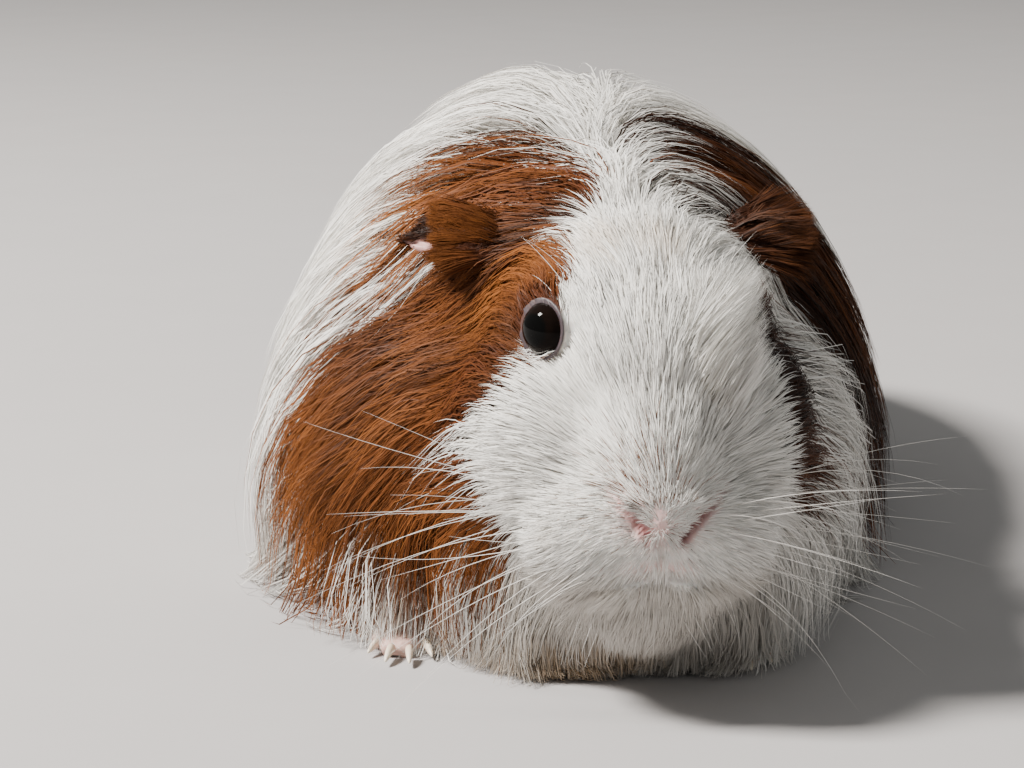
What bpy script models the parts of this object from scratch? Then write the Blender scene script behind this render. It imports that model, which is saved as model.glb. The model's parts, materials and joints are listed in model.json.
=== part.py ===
"""A long-haired guinea pig, life size, as a still museum model.

The animal stands on its four feet, low to the floor, and looks out over its
front paws with the head turned a little to its own left. The solids hold the
coat as well as the flesh, so their outline runs out to the tips of the hair.

Frame: metres, +Z up, the animal faces -Y, its left side is +X. The origin is
on the floor, under the middle of the whole animal.
"""

import math

import bmesh
import bpy
from mathutils import Matrix, Vector

MM = 0.001
CUT_GAP = 0.3 * MM  # the saw cut between two neighbouring pieces

# ---------------------------------------------------------------- driving sizes
TRUNK_LENGTH = 242 * MM  # chest to the tips of the rump hair
TRUNK_START_Y = -92 * MM
HEM_HEIGHT = 1.2 * MM  # the coat's hem hangs just clear of the floor
WIDEST_HEIGHT = 13 * MM  # the coat is widest here and hangs straight below it
ARCH_FALL = 1.12  # above 1 the coat falls from the back more like a tent

# The middle of the line between the eyes, and how the head is carried.
EYE_MIDDLE = Vector((13.0, -101.0, 63.6)) * MM
HEAD_YAW = math.radians(8)
MANE_LEAN = -0.075  # the mane falls a little more to the animal's right
HEAD_BACK = 33 * MM  # behind the ears' roots, in the head's own frame
NECK_BACK = -46 * MM  # where the neck piece ends and the trunk piece begins

EYE_RADIUS = 5.6 * MM
EYE_PLACE = (15.0, 1.2, -0.5)  # the left eyeball's centre in the head's frame
EAR_ROOT = (24, 34, 11)  # the left flap's root in the head's frame
EAR_LENGTH = 19 * MM
EAR_HALF_WIDTH = 12 * MM
EAR_THICKNESS = 1.6 * MM
EAR_DROOP = math.radians(38)  # how far the flap bends down on its way out
EAR_NARROW = 0.55  # width at the root, as a share of the widest
EAR_WIDEST_AT = 0.55  # how far out along the flap it starts to round off
EAR_HOLLOW = 3.2 * MM  # how far the flap's sides curl forward at its edge
EAR_ACROSS = Vector((0.10, 0.80, 0.59)).normalized()
EAR_DOWN = Vector((0.10, 0.45, -0.89)).normalized()
EAR_BACK = Vector((1.0, -0.3, 0.2)).normalized()

# ------------------------------------------------------------- mesh resolution
BODY_VOXEL = 2.6 * MM
LIMB_VOXEL = 1.3 * MM
BODY_FACES = 2800
LIMB_FACES = 320
BODY_SMOOTHING = 9
LIMB_SMOOTHING = 2
EAR_SPAN_STEPS = 6
EAR_CHORD_STEPS = 6
BALL_STEPS = 24
JOINT_STEPS = 12
EYE_SEGMENTS, EYE_RINGS = 14, 9
CLAW_ROWS, CLAW_SIDES = 2, 6

# Stations along the trunk, front to back: distance from its front, reach of
# the coat to the left and to the right, and height of the coat on the back.
TRUNK_STATIONS = (
    (0 * MM, 24 * MM, 30 * MM, 30 * MM),
    (5 * MM, 34 * MM, 42 * MM, 42 * MM),
    (14 * MM, 42 * MM, 52 * MM, 58 * MM),
    (30 * MM, 50 * MM, 60 * MM, 74 * MM),
    (52 * MM, 58 * MM, 66 * MM, 87 * MM),
    (84 * MM, 64 * MM, 68 * MM, 95 * MM),
    (122 * MM, 66 * MM, 68 * MM, 96 * MM),
    (160 * MM, 63 * MM, 65 * MM, 91 * MM),
    (190 * MM, 55 * MM, 56 * MM, 78 * MM),
    (212 * MM, 44 * MM, 45 * MM, 59 * MM),
    (227 * MM, 33 * MM, 34 * MM, 39 * MM),
    (236 * MM, 24 * MM, 24 * MM, 22 * MM),
    (TRUNK_LENGTH, 13 * MM, 13 * MM, 9 * MM),
)
TRUNK_RINGS = 44
RING_STEPS = 28
HEM_CORNERS = (-0.98, -0.5, 0.5, 0.98)  # shares of the reach, right to left

# The head's forms in the head's own frame, whose origin is the middle between
# the eyes: centre, radii and forward tilt. The first list lies on the middle
# plane, and each form of the second is there on both sides.
MIDDLE_FORMS = {
    "cranium": ((0, 24, -7), (27, 30, 26.5), 0),
    "forehead": ((0, 3, -9), (19.5, 21, 18), 20),
    "bridge": ((0, -9, -17), (15, 21, 13), 45),
    "muzzle": ((0, -12, -29.5), (20, 16, 13.5), 10),
    "chin": ((0, -5, -42), (15, 16, 9), 10),
    "throat": ((0, 14, -45), (28, 26, 15), 0),
    "nape": ((-2, 44, -6), (30, 30, 29), -8),
}
SIDE_FORMS = {
    "whisker_pad": ((11, -9.5, -32.5), (14, 14, 12.5), 10),
    "cheek": ((15.5, 10, -23), (17.5, 24, 22), 0),
    "jowl_hair": ((24, 20, -36), (18, 22, 22), 0),
    "neck_hair": ((24, 34, -32), (22, 22, 30), 0),
}

# Hair of the nape and shoulders, which does not turn with the head.
NAPE_CENTRE = (-1, -36, 59)
NAPE_RADII = (40, 46, 32)

# Bones of each leg from the body down, as (x, y, z, radius) in millimetres on
# the animal's left. The right side mirrors them.
FRONT_LEG = ((27, -47, 30, 9.5), (28, -54, 20, 7.5), (29, -66, 10, 5.5), (30, -74, 4.6, 5.2))
HIND_LEG = ((38, 40, 26, 12), (36, 58, 11, 7.5), (38, 44, 4.9, 5.6))
FRONT_TOES = ((-19, 12.0), (-6, 15.0), (7, 14.5), (21, 11.0))  # fan angle, length
HIND_TOES = ((-14, 15.0), (0, 18.0), (14, 15.5))
TOE_RADIUS = 1.9
TOE_SWELL = 0.7  # how much thicker a toe is where it leaves the paw
TOE_START = 2.0  # from the wrist's middle forward to a toe's start
TOE_START_DROP = 1.0  # and down to it
SOLE_DEPTH = 0.55  # how much of a toe is pressed flat on the floor
BONE_OVERLAP = 0.35  # spacing of a bone's balls, as a share of their radius
CLAW_LENGTH = 5.0 * MM
CLAW_RADIUS = 1.0 * MM
CLAW_TAPER = 0.75  # share of its radius a claw loses towards its tip
CLAW_GAP = 0.1 * MM  # between a toe's end and its claw
CLAW_HEIGHT = 2.0 * MM  # of a claw's middle where it starts
CLAW_FALL = 1.1 * MM
CLAW_TIP_HEIGHT = 0.5 * MM
ROOM_GAP = 0.5 * MM  # how far the coat stands off a leg or an ear
CLAW_ROOM = Vector((22, 14, 9)) * MM  # the space a foot's claws have in the coat
CLAW_ROOM_OVERLAP = 4 * MM  # how far that space reaches back over the toes

CUTTER_SPAN = 400 * MM  # side of the boxes that share the body out
FLOOR_SIZE = Vector((600, 600, 100)) * MM

# ---------------------------------------------------------------------- colours
# Colour and roughness of each material.
FINISHES = {
    "white_coat": ((0.86, 0.83, 0.78, 1), 0.75),
    "golden_coat": ((0.36, 0.13, 0.035, 1), 0.70),
    "eye": ((0.012, 0.009, 0.009, 1), 0.08),
    "ear_skin": ((0.52, 0.30, 0.25, 1), 0.60),
    "paw_skin": ((0.70, 0.47, 0.41, 1), 0.65),
    "claw": ((0.74, 0.62, 0.52, 1), 0.40),
}


def clear_scene():
    for obj in list(bpy.data.objects):
        bpy.data.objects.remove(obj, do_unlink=True)
    for name in ("guinea_pig", "cutters"):
        collection = bpy.data.collections.new(name)
        bpy.context.scene.collection.children.link(collection)
    bpy.data.collections["cutters"].hide_render = True


def make_material(name):
    colour, roughness = FINISHES[name]
    material = bpy.data.materials.new(name)
    material.use_nodes = True
    shader = material.node_tree.nodes["Principled BSDF"]
    shader.inputs["Base Color"].default_value = colour
    shader.inputs["Roughness"].default_value = roughness
    shader.inputs["Metallic"].default_value = 0.0
    return material


def add_object(name, mesh, collection="guinea_pig", material=None):
    obj = bpy.data.objects.new(name, mesh)
    bpy.data.collections[collection].objects.link(obj)
    if collection == "cutters":
        obj.hide_render = True
        obj.display_type = "WIRE"
    if material:
        obj.data.materials.clear()
        obj.data.materials.append(material)
    return obj


def mesh_from(name, bm):
    mesh = bpy.data.meshes.new(name)
    bm.to_mesh(mesh)
    bm.free()
    return mesh


def baked_mesh(obj):
    """The object's mesh with its modifiers applied, which then replaces it."""
    bpy.context.view_layer.update()
    graph = bpy.context.evaluated_depsgraph_get()
    mesh = bpy.data.meshes.new_from_object(obj.evaluated_get(graph))
    mesh.transform(obj.matrix_world)
    bpy.data.objects.remove(obj, do_unlink=True)
    return mesh


def head_matrix():
    """Carries the head's own frame to where the animal holds its head."""
    return Matrix.Translation(EYE_MIDDLE) @ Matrix.Rotation(HEAD_YAW, 4, "Z")


def add_ellipsoid(bm, centre, radii, tilt=0.0, frame=None, steps=BALL_STEPS):
    """An ellipsoid with its centre and radii in millimetres. Tilt lowers its front."""
    place = Matrix.Translation(Vector(centre) * MM)
    place @= Matrix.Rotation(math.radians(tilt), 4, "X")
    place @= Matrix.Diagonal((*(Vector(radii) * MM), 1))
    if frame is not None:
        place = frame @ place
    bmesh.ops.create_uvsphere(
        bm, u_segments=steps, v_segments=steps // 2, radius=1, matrix=place
    )


# ------------------------------------------------------------------- whole body
def smooth_between(stations, place):
    """The values of a station table at one place, on a smooth curve."""
    last = len(stations) - 1
    for index in range(last):
        if place <= stations[index + 1][0]:
            break
    before, a, b, after = (
        stations[max(index - 1, 0)],
        stations[index],
        stations[index + 1],
        stations[min(index + 2, last)],
    )
    step = b[0] - a[0]
    t = (place - a[0]) / step
    values = []
    for column in range(1, len(a)):
        slope_a = (b[column] - before[column]) / (b[0] - before[0]) * step
        slope_b = (after[column] - a[column]) / (after[0] - a[0]) * step
        values.append(
            (2 * t**3 - 3 * t**2 + 1) * a[column]
            + (t**3 - 2 * t**2 + t) * slope_a
            + (-2 * t**3 + 3 * t**2) * b[column]
            + (t**3 - t**2) * slope_b
        )
    return values


def trunk_ring(bm, place):
    """One section of the trunk: an arch over the back that hangs straight below."""
    left, right, top = smooth_between(TRUNK_STATIONS, place)
    y = TRUNK_START_Y + place
    widest = min(WIDEST_HEIGHT, 0.5 * top)
    ring = []
    for step in range(RING_STEPS + 1):
        angle = math.pi * step / RING_STEPS
        rise = math.sin(angle) ** ARCH_FALL if 0 < step < RING_STEPS else 0
        z = widest + (top - widest) * rise
        across = math.copysign(abs(math.cos(angle)) ** ARCH_FALL, math.cos(angle))
        x = across * (left if across > 0 else right) + MANE_LEAN * z
        ring.append(bm.verts.new((x, y, z)))
    for share in HEM_CORNERS:
        x = share * (left if share > 0 else right)
        ring.append(bm.verts.new((x, y, HEM_HEIGHT)))
    return ring


def add_trunk(bm):
    step = TRUNK_LENGTH / TRUNK_RINGS
    rings = [trunk_ring(bm, index * step) for index in range(TRUNK_RINGS + 1)]
    for near, far in zip(rings, rings[1:]):
        for index, corner in enumerate(near):
            after = (index + 1) % len(near)
            bm.faces.new((corner, near[after], far[after], far[index]))
    bm.faces.new(list(reversed(rings[0])))
    bm.faces.new(rings[-1])


def whole_body():
    """Trunk and head as one closed form, coat included."""
    bm = bmesh.new()
    add_trunk(bm)
    head = head_matrix()
    for centre, radii, tilt in MIDDLE_FORMS.values():
        add_ellipsoid(bm, centre, radii, tilt, head)
    for centre, radii, tilt in SIDE_FORMS.values():
        for side in (1, -1):
            mirrored = (side * centre[0], *centre[1:])
            add_ellipsoid(bm, mirrored, radii, tilt, head)
    add_ellipsoid(bm, NAPE_CENTRE, NAPE_RADII)
    bmesh.ops.recalc_face_normals(bm, faces=bm.faces)
    obj = add_object("body_form", mesh_from("body_form", bm), "cutters")
    return remeshed(obj, BODY_VOXEL, BODY_SMOOTHING, BODY_FACES)


def remeshed(obj, voxel, smoothing, faces):
    """The object's shells melted into one skin, smoothed and thinned out."""
    remesh = obj.modifiers.new("melt", "REMESH")
    remesh.mode = "VOXEL"
    remesh.voxel_size = voxel
    relax = obj.modifiers.new("relax", "SMOOTH")
    relax.factor = 0.5
    relax.iterations = smoothing
    mesh = baked_mesh(obj)
    obj = add_object(mesh.name, mesh, "cutters")
    bm = bmesh.new()
    bm.from_mesh(mesh)
    bmesh.ops.triangulate(bm, faces=bm.faces)
    triangles = len(bm.faces)
    bm.to_mesh(mesh)
    bm.free()
    thin = obj.modifiers.new("thin", "DECIMATE")
    thin.ratio = min(1.0, faces / triangles)
    return baked_mesh(obj)


# ----------------------------------------------------------------- boolean help
def cut(obj, cutter, operation="DIFFERENCE"):
    boolean = obj.modifiers.new(operation.lower(), "BOOLEAN")
    boolean.operation = operation
    boolean.object = cutter
    return boolean


def slab(name, centre, size, frame=None):
    bm = bmesh.new()
    place = Matrix.Translation(centre) @ Matrix.Diagonal((*size, 1))
    bmesh.ops.create_cube(bm, size=1, matrix=(frame or Matrix.Identity(4)) @ place)
    return add_object(name, mesh_from(name, bm), "cutters")


# ------------------------------------------------------------------------- limbs
def mirrored(point, side):
    return Vector((side * point[0], point[1], point[2]))


def add_bone(bm, start, end, start_radius, end_radius):
    """A row of overlapping balls from one joint to the next, in millimetres."""
    span = (end - start).length
    balls = max(2, int(span / (BONE_OVERLAP * min(start_radius, end_radius))))
    for index in range(balls + 1):
        t = index / balls
        radius = start_radius + (end_radius - start_radius) * t
        add_ellipsoid(bm, start.lerp(end, t), (radius,) * 3, steps=JOINT_STEPS)


def toe_line(wrist, side, angle, length):
    """Where a toe starts at the paw and where it ends."""
    turn = math.radians(angle) * side
    forward = Vector((math.sin(turn), -math.cos(turn), 0))
    start = wrist + forward * TOE_START
    end = wrist + forward * length
    start.z = wrist.z - TOE_START_DROP
    end.z = TOE_RADIUS - SOLE_DEPTH
    return start, end


def limb(name, bones, toes, side):
    """The mesh of a leg with its foot and toes, reaching a little below the floor."""
    bm = bmesh.new()
    joints = [(mirrored(b[:3], side), b[3]) for b in bones]
    for (start, start_radius), (end, end_radius) in zip(joints, joints[1:]):
        add_bone(bm, start, end, start_radius, end_radius)
    wrist = joints[-1][0]
    for angle, length in toes:
        start, end = toe_line(wrist, side, angle, length)
        add_bone(bm, start, end, TOE_RADIUS + TOE_SWELL, TOE_RADIUS)
    obj = add_object(name, mesh_from(name, bm), "cutters")
    return remeshed(obj, LIMB_VOXEL, LIMB_SMOOTHING, LIMB_FACES)


def room_for(name, mesh):
    """The same form, a hair's breadth larger all round, to hollow the coat with."""
    room = add_object(name, mesh.copy(), "cutters")
    stand_off = room.modifiers.new("stand_off", "DISPLACE")
    stand_off.strength = ROOM_GAP
    stand_off.mid_level = 0
    return room


def claw(name, wrist, side, angle, length, material):
    """One claw: a cone that leaves the toe's tip and curves down to the floor."""
    start, end = toe_line(wrist, side, angle, length)
    forward = end - start
    forward.z = 0
    forward.normalize()
    base = end * MM + forward * (TOE_RADIUS * MM + CLAW_GAP)
    bm = bmesh.new()
    sideways = forward.cross(Vector((0, 0, 1)))
    rings = []
    for row in range(CLAW_ROWS):
        t = row / CLAW_ROWS
        centre = base + forward * CLAW_LENGTH * t
        centre.z = CLAW_HEIGHT - CLAW_FALL * t * t
        radius = CLAW_RADIUS * (1 - CLAW_TAPER * t)
        ring = []
        for corner in range(CLAW_SIDES):
            turn = 2 * math.pi * corner / CLAW_SIDES
            offset = sideways * math.cos(turn) + Vector((0, 0, 1)) * math.sin(turn)
            ring.append(bm.verts.new(centre + offset * radius))
        rings.append(ring)
    tip = bm.verts.new(base + forward * CLAW_LENGTH)
    tip.co.z = CLAW_TIP_HEIGHT
    for near, far in zip(rings, rings[1:]):
        for index in range(CLAW_SIDES):
            after = (index + 1) % CLAW_SIDES
            bm.faces.new((near[index], near[after], far[after], far[index]))
    for index in range(CLAW_SIDES):
        bm.faces.new((rings[-1][index], rings[-1][(index + 1) % CLAW_SIDES], tip))
    bm.faces.new(list(reversed(rings[0])))
    bmesh.ops.recalc_face_normals(bm, faces=bm.faces)
    return add_object(name, mesh_from(name, bm), material=material)


# -------------------------------------------------------------------------- ears
def ear_point(s, t):
    """A point of the ear flap: s runs from its root to its edge, t across it."""
    opening = math.sin(math.pi / 2 * min(s / EAR_WIDEST_AT, 1))
    width = EAR_HALF_WIDTH * (EAR_NARROW + (1 - EAR_NARROW) * opening)
    rounding = max(s - EAR_WIDEST_AT, 0) / (1.02 - EAR_WIDEST_AT)
    width *= math.sqrt(max(1 - rounding**2, 0))
    bend = EAR_DROOP * s
    reach = EAR_LENGTH * (math.sin(bend) / EAR_DROOP)
    drop = EAR_LENGTH * ((1 - math.cos(bend)) / EAR_DROOP)
    hollow = EAR_HOLLOW * t * t * s
    out = Vector((1, 0, 0))
    return out * reach + EAR_DOWN * drop + EAR_ACROSS * width * t - EAR_BACK * hollow


def ear_mesh(name, side):
    """The ear flap, standing out from the side of the head."""
    bm = bmesh.new()
    grid = []
    for row in range(EAR_SPAN_STEPS + 1):
        s = row / EAR_SPAN_STEPS
        line = []
        for column in range(EAR_CHORD_STEPS + 1):
            t = 2 * column / EAR_CHORD_STEPS - 1
            point = ear_point(s, t)
            line.append(bm.verts.new((side * point.x, point.y, point.z)))
        grid.append(line)
    for near, far in zip(grid, grid[1:]):
        for index in range(EAR_CHORD_STEPS):
            bm.faces.new((near[index], near[index + 1], far[index + 1], far[index]))
    obj = add_object(name, mesh_from(name, bm), "cutters")
    obj.matrix_world = head_matrix() @ Matrix.Translation(mirrored(EAR_ROOT, side) * MM)
    shell = obj.modifiers.new("flap", "SOLIDIFY")
    shell.thickness = EAR_THICKNESS
    shell.offset = 0
    return baked_mesh(obj)


# -------------------------------------------------------------------------- eyes
def ball(name, side, radius, collection="cutters", material=None):
    bm = bmesh.new()
    bmesh.ops.create_uvsphere(bm, u_segments=EYE_SEGMENTS, v_segments=EYE_RINGS, radius=radius)
    obj = add_object(name, mesh_from(name, bm), collection, material)
    obj.matrix_world = head_matrix() @ Matrix.Translation(mirrored(EYE_PLACE, side) * MM)
    return obj


# ------------------------------------------------------------------------- build
def region_slabs():
    """The boxes that share the body out into head, neck and trunk."""
    frame = head_matrix()
    half = CUTTER_SPAN / 2
    size = (CUTTER_SPAN,) * 3
    head_box = slab("head_region", (0, HEAD_BACK - half, 0), size, frame)
    head_gap = slab("head_region_gap", (0, HEAD_BACK + CUT_GAP - half, 0), size, frame)
    front_box = slab("front_region", (0, NECK_BACK - half, 0), size)
    back_box = slab("back_region", (0, NECK_BACK + CUT_GAP + half, 0), size)
    return head_box, head_gap, front_box, back_box


def centre_on_floor():
    """Moves everything so that the animal's middle stands over the origin."""
    bpy.context.view_layer.update()
    graph = bpy.context.evaluated_depsgraph_get()
    corners = []
    for obj in bpy.data.collections["guinea_pig"].objects:
        shown = obj.evaluated_get(graph)
        corners += [shown.matrix_world @ Vector(corner) for corner in shown.bound_box]
    middle = Vector()
    for axis in (0, 1):
        low = min(corner[axis] for corner in corners)
        high = max(corner[axis] for corner in corners)
        middle[axis] = (low + high) / 2
    for obj in bpy.data.objects:
        obj.location -= middle


def main():
    clear_scene()
    white = make_material("white_coat")
    golden = make_material("golden_coat")
    black = make_material("eye")
    ear_skin = make_material("ear_skin")
    paw_skin = make_material("paw_skin")
    horn = make_material("claw")

    body = whole_body()
    head_box, head_gap, front_box, back_box = region_slabs()
    head = add_object("head", body.copy(), material=white)
    neck = add_object("neck", body.copy(), material=white)
    trunk = add_object("trunk", body.copy(), material=golden)
    cut(head, head_box, "INTERSECT")
    cut(neck, head_gap)
    cut(neck, front_box, "INTERSECT")
    cut(trunk, back_box, "INTERSECT")
    cut(trunk, head_gap)
    coat_pieces = (head, neck, trunk)

    floor = slab("floor", (0, 0, -FLOOR_SIZE.z / 2), FLOOR_SIZE)
    for side, word in ((1, "left"), (-1, "right")):
        ball(f"eye_{word}", side, EYE_RADIUS, "guinea_pig", black)
        socket = ball(f"socket_{word}", side, EYE_RADIUS + CUT_GAP)
        cut(head, socket)
        flap = ear_mesh(f"ear_{word}", side)
        add_object(f"ear_{word}", flap.copy(), material=ear_skin)
        slot = room_for(f"ear_slot_{word}", flap)
        cut(head, slot)
        cut(neck, slot)
        for place, bones, toes in (
            ("front", FRONT_LEG, FRONT_TOES),
            ("hind", HIND_LEG, HIND_TOES),
        ):
            name = f"leg_{place}_{word}"
            mesh = limb(name, bones, toes, side)
            leg = add_object(name, mesh.copy(), material=paw_skin)
            cut(leg, floor)
            room = room_for(f"{name}_room", mesh)
            for piece in coat_pieces:
                cut(piece, room)
            wrist = mirrored(bones[-1][:3], side)
            for number, (angle, length) in enumerate(toes, 1):
                claw(f"claw_{place}_{word}_{number}", wrist, side, angle, length, horn)
            reach = toes[1][1] * MM + CLAW_ROOM.y / 2 - CLAW_ROOM_OVERLAP
            middle = wrist * MM - Vector((0, reach, 0))
            middle.z = 0
            claw_room = slab(f"{name}_claw_room", middle, CLAW_ROOM)
            for piece in coat_pieces:
                cut(piece, claw_room)
    centre_on_floor()


main()
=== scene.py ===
"""Looks of the long-haired guinea pig: its skin, eyes, claws, coat and whiskers.

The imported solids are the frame. One skin stands for all the solids of flesh and
lies inside them by the depth of the coat. The coat is mesh: many thin tapered
hairs, gathered in locks, that follow the lie of the fur over the skin.

Places are in metres in the row frame: +Z up, the animal faces -Y and its left
side is +X. Forms and markings are in millimetres in the head's frame.
"""

import json
import math

import bmesh
import bpy
import numpy as np
from bpy.props import FloatProperty, FloatVectorProperty, IntProperty, PointerProperty
from mathutils import Matrix, Vector
from mathutils.bvhtree import BVHTree
from mathutils.kdtree import KDTree

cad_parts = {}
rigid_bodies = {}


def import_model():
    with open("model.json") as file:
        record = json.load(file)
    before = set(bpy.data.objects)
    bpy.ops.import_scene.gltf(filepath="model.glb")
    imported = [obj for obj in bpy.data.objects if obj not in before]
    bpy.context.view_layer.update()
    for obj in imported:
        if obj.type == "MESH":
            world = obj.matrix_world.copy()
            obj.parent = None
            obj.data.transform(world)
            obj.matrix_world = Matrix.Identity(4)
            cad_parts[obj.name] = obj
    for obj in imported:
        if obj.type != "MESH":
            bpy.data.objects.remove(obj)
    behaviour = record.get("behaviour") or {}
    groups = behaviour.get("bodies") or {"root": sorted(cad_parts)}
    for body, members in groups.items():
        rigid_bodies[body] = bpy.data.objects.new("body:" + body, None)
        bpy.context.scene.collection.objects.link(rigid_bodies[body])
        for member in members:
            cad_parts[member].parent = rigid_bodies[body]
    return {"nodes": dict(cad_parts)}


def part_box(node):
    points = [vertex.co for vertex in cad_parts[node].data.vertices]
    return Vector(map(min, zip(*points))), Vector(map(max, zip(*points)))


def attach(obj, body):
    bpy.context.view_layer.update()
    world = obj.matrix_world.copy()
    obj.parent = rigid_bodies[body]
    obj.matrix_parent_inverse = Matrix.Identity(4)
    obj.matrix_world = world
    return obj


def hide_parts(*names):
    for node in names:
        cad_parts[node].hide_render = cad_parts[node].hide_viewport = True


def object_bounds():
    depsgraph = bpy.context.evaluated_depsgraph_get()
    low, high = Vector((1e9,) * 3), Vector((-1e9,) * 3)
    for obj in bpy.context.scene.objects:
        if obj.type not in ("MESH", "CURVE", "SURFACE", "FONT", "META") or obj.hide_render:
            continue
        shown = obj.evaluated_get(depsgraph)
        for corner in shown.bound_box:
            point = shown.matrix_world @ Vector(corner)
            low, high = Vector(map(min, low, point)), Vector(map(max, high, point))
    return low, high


bl_info = {
    "name": "Long-haired guinea pig",
    "version": (1, 0, 0),
    "blender": (4, 5, 0),
    "location": "View3D > Sidebar > Guinea pig",
    "description": "Skin, eyes, claws, coat and whiskers of a life-size guinea pig",
    "category": "Add Mesh",
}

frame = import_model()
CAD_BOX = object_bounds()

MM = 0.001
SIDES = (("left", 1), ("right", -1))
FLESH_NODES = ["head", "neck", "trunk", "ear_left", "ear_right"] + [
    f"leg_{place}_{word}" for place in ("front", "hind") for word, _ in SIDES
]


# ------------------------------------------------------- places, from the frame
def node_middle(node):
    low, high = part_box(node)
    return (low + high) / 2


EYE_CENTRES = {side: node_middle(f"eye_{word}") for word, side in SIDES}
EYE_RADIUS = (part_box("eye_left")[1].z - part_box("eye_left")[0].z) / 2
ACROSS_HEAD = EYE_CENTRES[1] - EYE_CENTRES[-1]
EYE_OUT = ACROSS_HEAD.length / 2 / MM
HEAD_YAW = math.atan2(*ACROSS_HEAD.normalized().yx)

# The head's own frame: its origin is between the eyes, -Y runs out to the nose
# and +X to the animal's left.
EYE_DROP = Vector((0, 1.2, -0.5)) * MM
HEAD_TURN = Matrix.Rotation(HEAD_YAW, 4, "Z")
HEAD_AXES = np.array(HEAD_TURN)[:3, :3]
HEAD_PLACE = (
    Matrix.Translation((EYE_CENTRES[1] + EYE_CENTRES[-1]) / 2)
    @ HEAD_TURN
    @ Matrix.Translation(-EYE_DROP)
)
HEAD_INVERSE = HEAD_PLACE.inverted()

# ------------------------------------------------------- flesh, in millimetres
NOSE_TIP = (0, -26.5, -29.5)

# Forms of the head: centre, radii, forward tilt in degrees.
HEAD_MIDDLE = {
    "cranium": ((0, 23, -8), (22, 28, 21), 0),
    "forehead": ((0, 3, -10.5), (15.5, 19, 16), 20),
    "bridge": ((0, -10, -18), (11, 20, 11), 45),
    "muzzle": ((0, -12.5, -29), (15, 14, 11.5), 10),
    "nose": ((0, -21.5, -27), (8, 5.5, 6), 20),
    "chin": ((0, -7, -41.5), (10, 12, 6), 10),
    "throat": ((0, 14, -38), (20, 24, 13), 0),
    "nape": ((-2, 42, -6), (24, 28, 22), 0),
    "neck": ((-4, 50, -22), (30, 30, 28), 0),
}
HEAD_SIDE = {
    "eye_mound": ((10.0, 2.5, -1.5), (7.2, 9.5, 9), 0),
    "whisker_pad": ((8.5, -11.5, -32), (10.5, 12, 9.5), 10),
    "cheek": ((13, 9, -22), (14, 21, 18), 0),
    "lip": ((5.5, -17.5, -36.5), (6.5, 7, 4.5), 15),
}

# Sections of the trunk's flesh in the row frame: y, half width, top, bottom.
TRUNK_SECTIONS = (
    (-96, 12, 36, 17),
    (-88, 25, 50, 11),
    (-74, 36, 64, 8),
    (-54, 43, 74, 7),
    (-20, 47, 81, 7),
    (20, 49, 83, 7),
    (55, 47, 78, 8),
    (84, 40, 67, 10),
    (104, 28, 52, 15),
    (116, 15, 38, 22),
    (120, 5, 31, 27),
)

TRUNK_RINGS, TRUNK_SIDES = 60, 40

# Bones of each left leg in the row frame, from the body down: x, y, z, radius.
FRONT_LEG = ((27, -58, 30, 8.5), (29, -65, 20, 6.5), (30, -77, 9.5, 4.4), (31, -85, 4.2, 4.2))
HIND_LEG = ((38, 29, 26, 11), (37, 47, 10.5, 6.3), (39, 33, 4.6, 4.6))
FRONT_TOES = ((-19, 12.2), (-6, 15.2), (7, 14.7), (21, 11.2))  # fan angle, length
HIND_TOES = ((-14, 15.2), (0, 18.2), (14, 15.7))
LEGS = (("front", FRONT_LEG, FRONT_TOES), ("hind", HIND_LEG, HIND_TOES))
FOOT_SHIFT = 2.1  # the feet stand under the chest, a little to the left
TOE_RADIUS = 1.75
SKIN_GRAIN = 1.2 * MM  # voxel of the skin
FINE_ROUND_EYE = (11.5, 9)  # how far the skin's mesh is made finer, and finer again
FINE_ROUND_NOSE = (((0, -23, -30), 13), ((0, -24, -29), 10))
COAT_GRAIN = 2.2 * MM  # voxel of the solids' outside

EYE_AIM = math.radians(50)  # from straight ahead to the middle of the eye's opening
EYE_TILT = math.radians(6)
EYE_MM = EYE_RADIUS / MM
LID_OPENING = {1: math.radians(50), -1: math.radians(56)}  # half angle, by side
LID_EDGE = 0.40  # how far the lid's edge stands off the eyeball
LID_RIM = 0.35  # how much its rim is raised
LID_RIM_ANGLE = 0.09  # half the rim's width, in radians
NOSTRIL = {1: (3.6, 8.0), -1: (1.9, 5.0)}  # a slit's start from the middle, and its reach
EAR_ROOT = (17, 35, 8.5)
EAR_LENGTH = {1: 17.0, -1: 22.5}  # by side
EAR_WIDTH = 6.8
EAR_RISE = math.radians(18)  # how steeply an ear leaves the head
EAR_DROOP = math.radians(34)  # how far it bends down from there to its tip
EAR_THICKNESS = 1.1
# Which way an ear reaches out, bends down, is wide and is cupped.
EAR_WAYS = ((1.0, 0, 0), (0.05, 0.30, -0.95), (0.10, 0.78, 0.62), (1.0, -0.3, 0.2))
EAR_ROWS, EAR_COLUMNS = 26, 25
EAR_CLEARANCE = 2.8  # how far above an ear's middle the hair passes
EAR_SURROUND = 9 * MM  # how far from an ear the hair still makes way for it
GRID_MARGIN = 8 * MM  # of the grids of distances, past the solids' box
OVER_EAR = Vector((0, -0.55, 0.83))  # the side of an ear that the head's hair lies on

# ------------------------------------------------------------------- the coat
SHEEN = 0.62  # how much a hair shades as its own strip rather than as the coat's surface
PATCH = 0.003  # side of each hair's patch on the layout
FRINGE_COURSE = np.array((0.38, -0.36, 0.85))  # of the hair that stands over the left eye
HAIR_FLOOR = 0.5 * MM  # the lowest that a hair's middle goes

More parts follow.
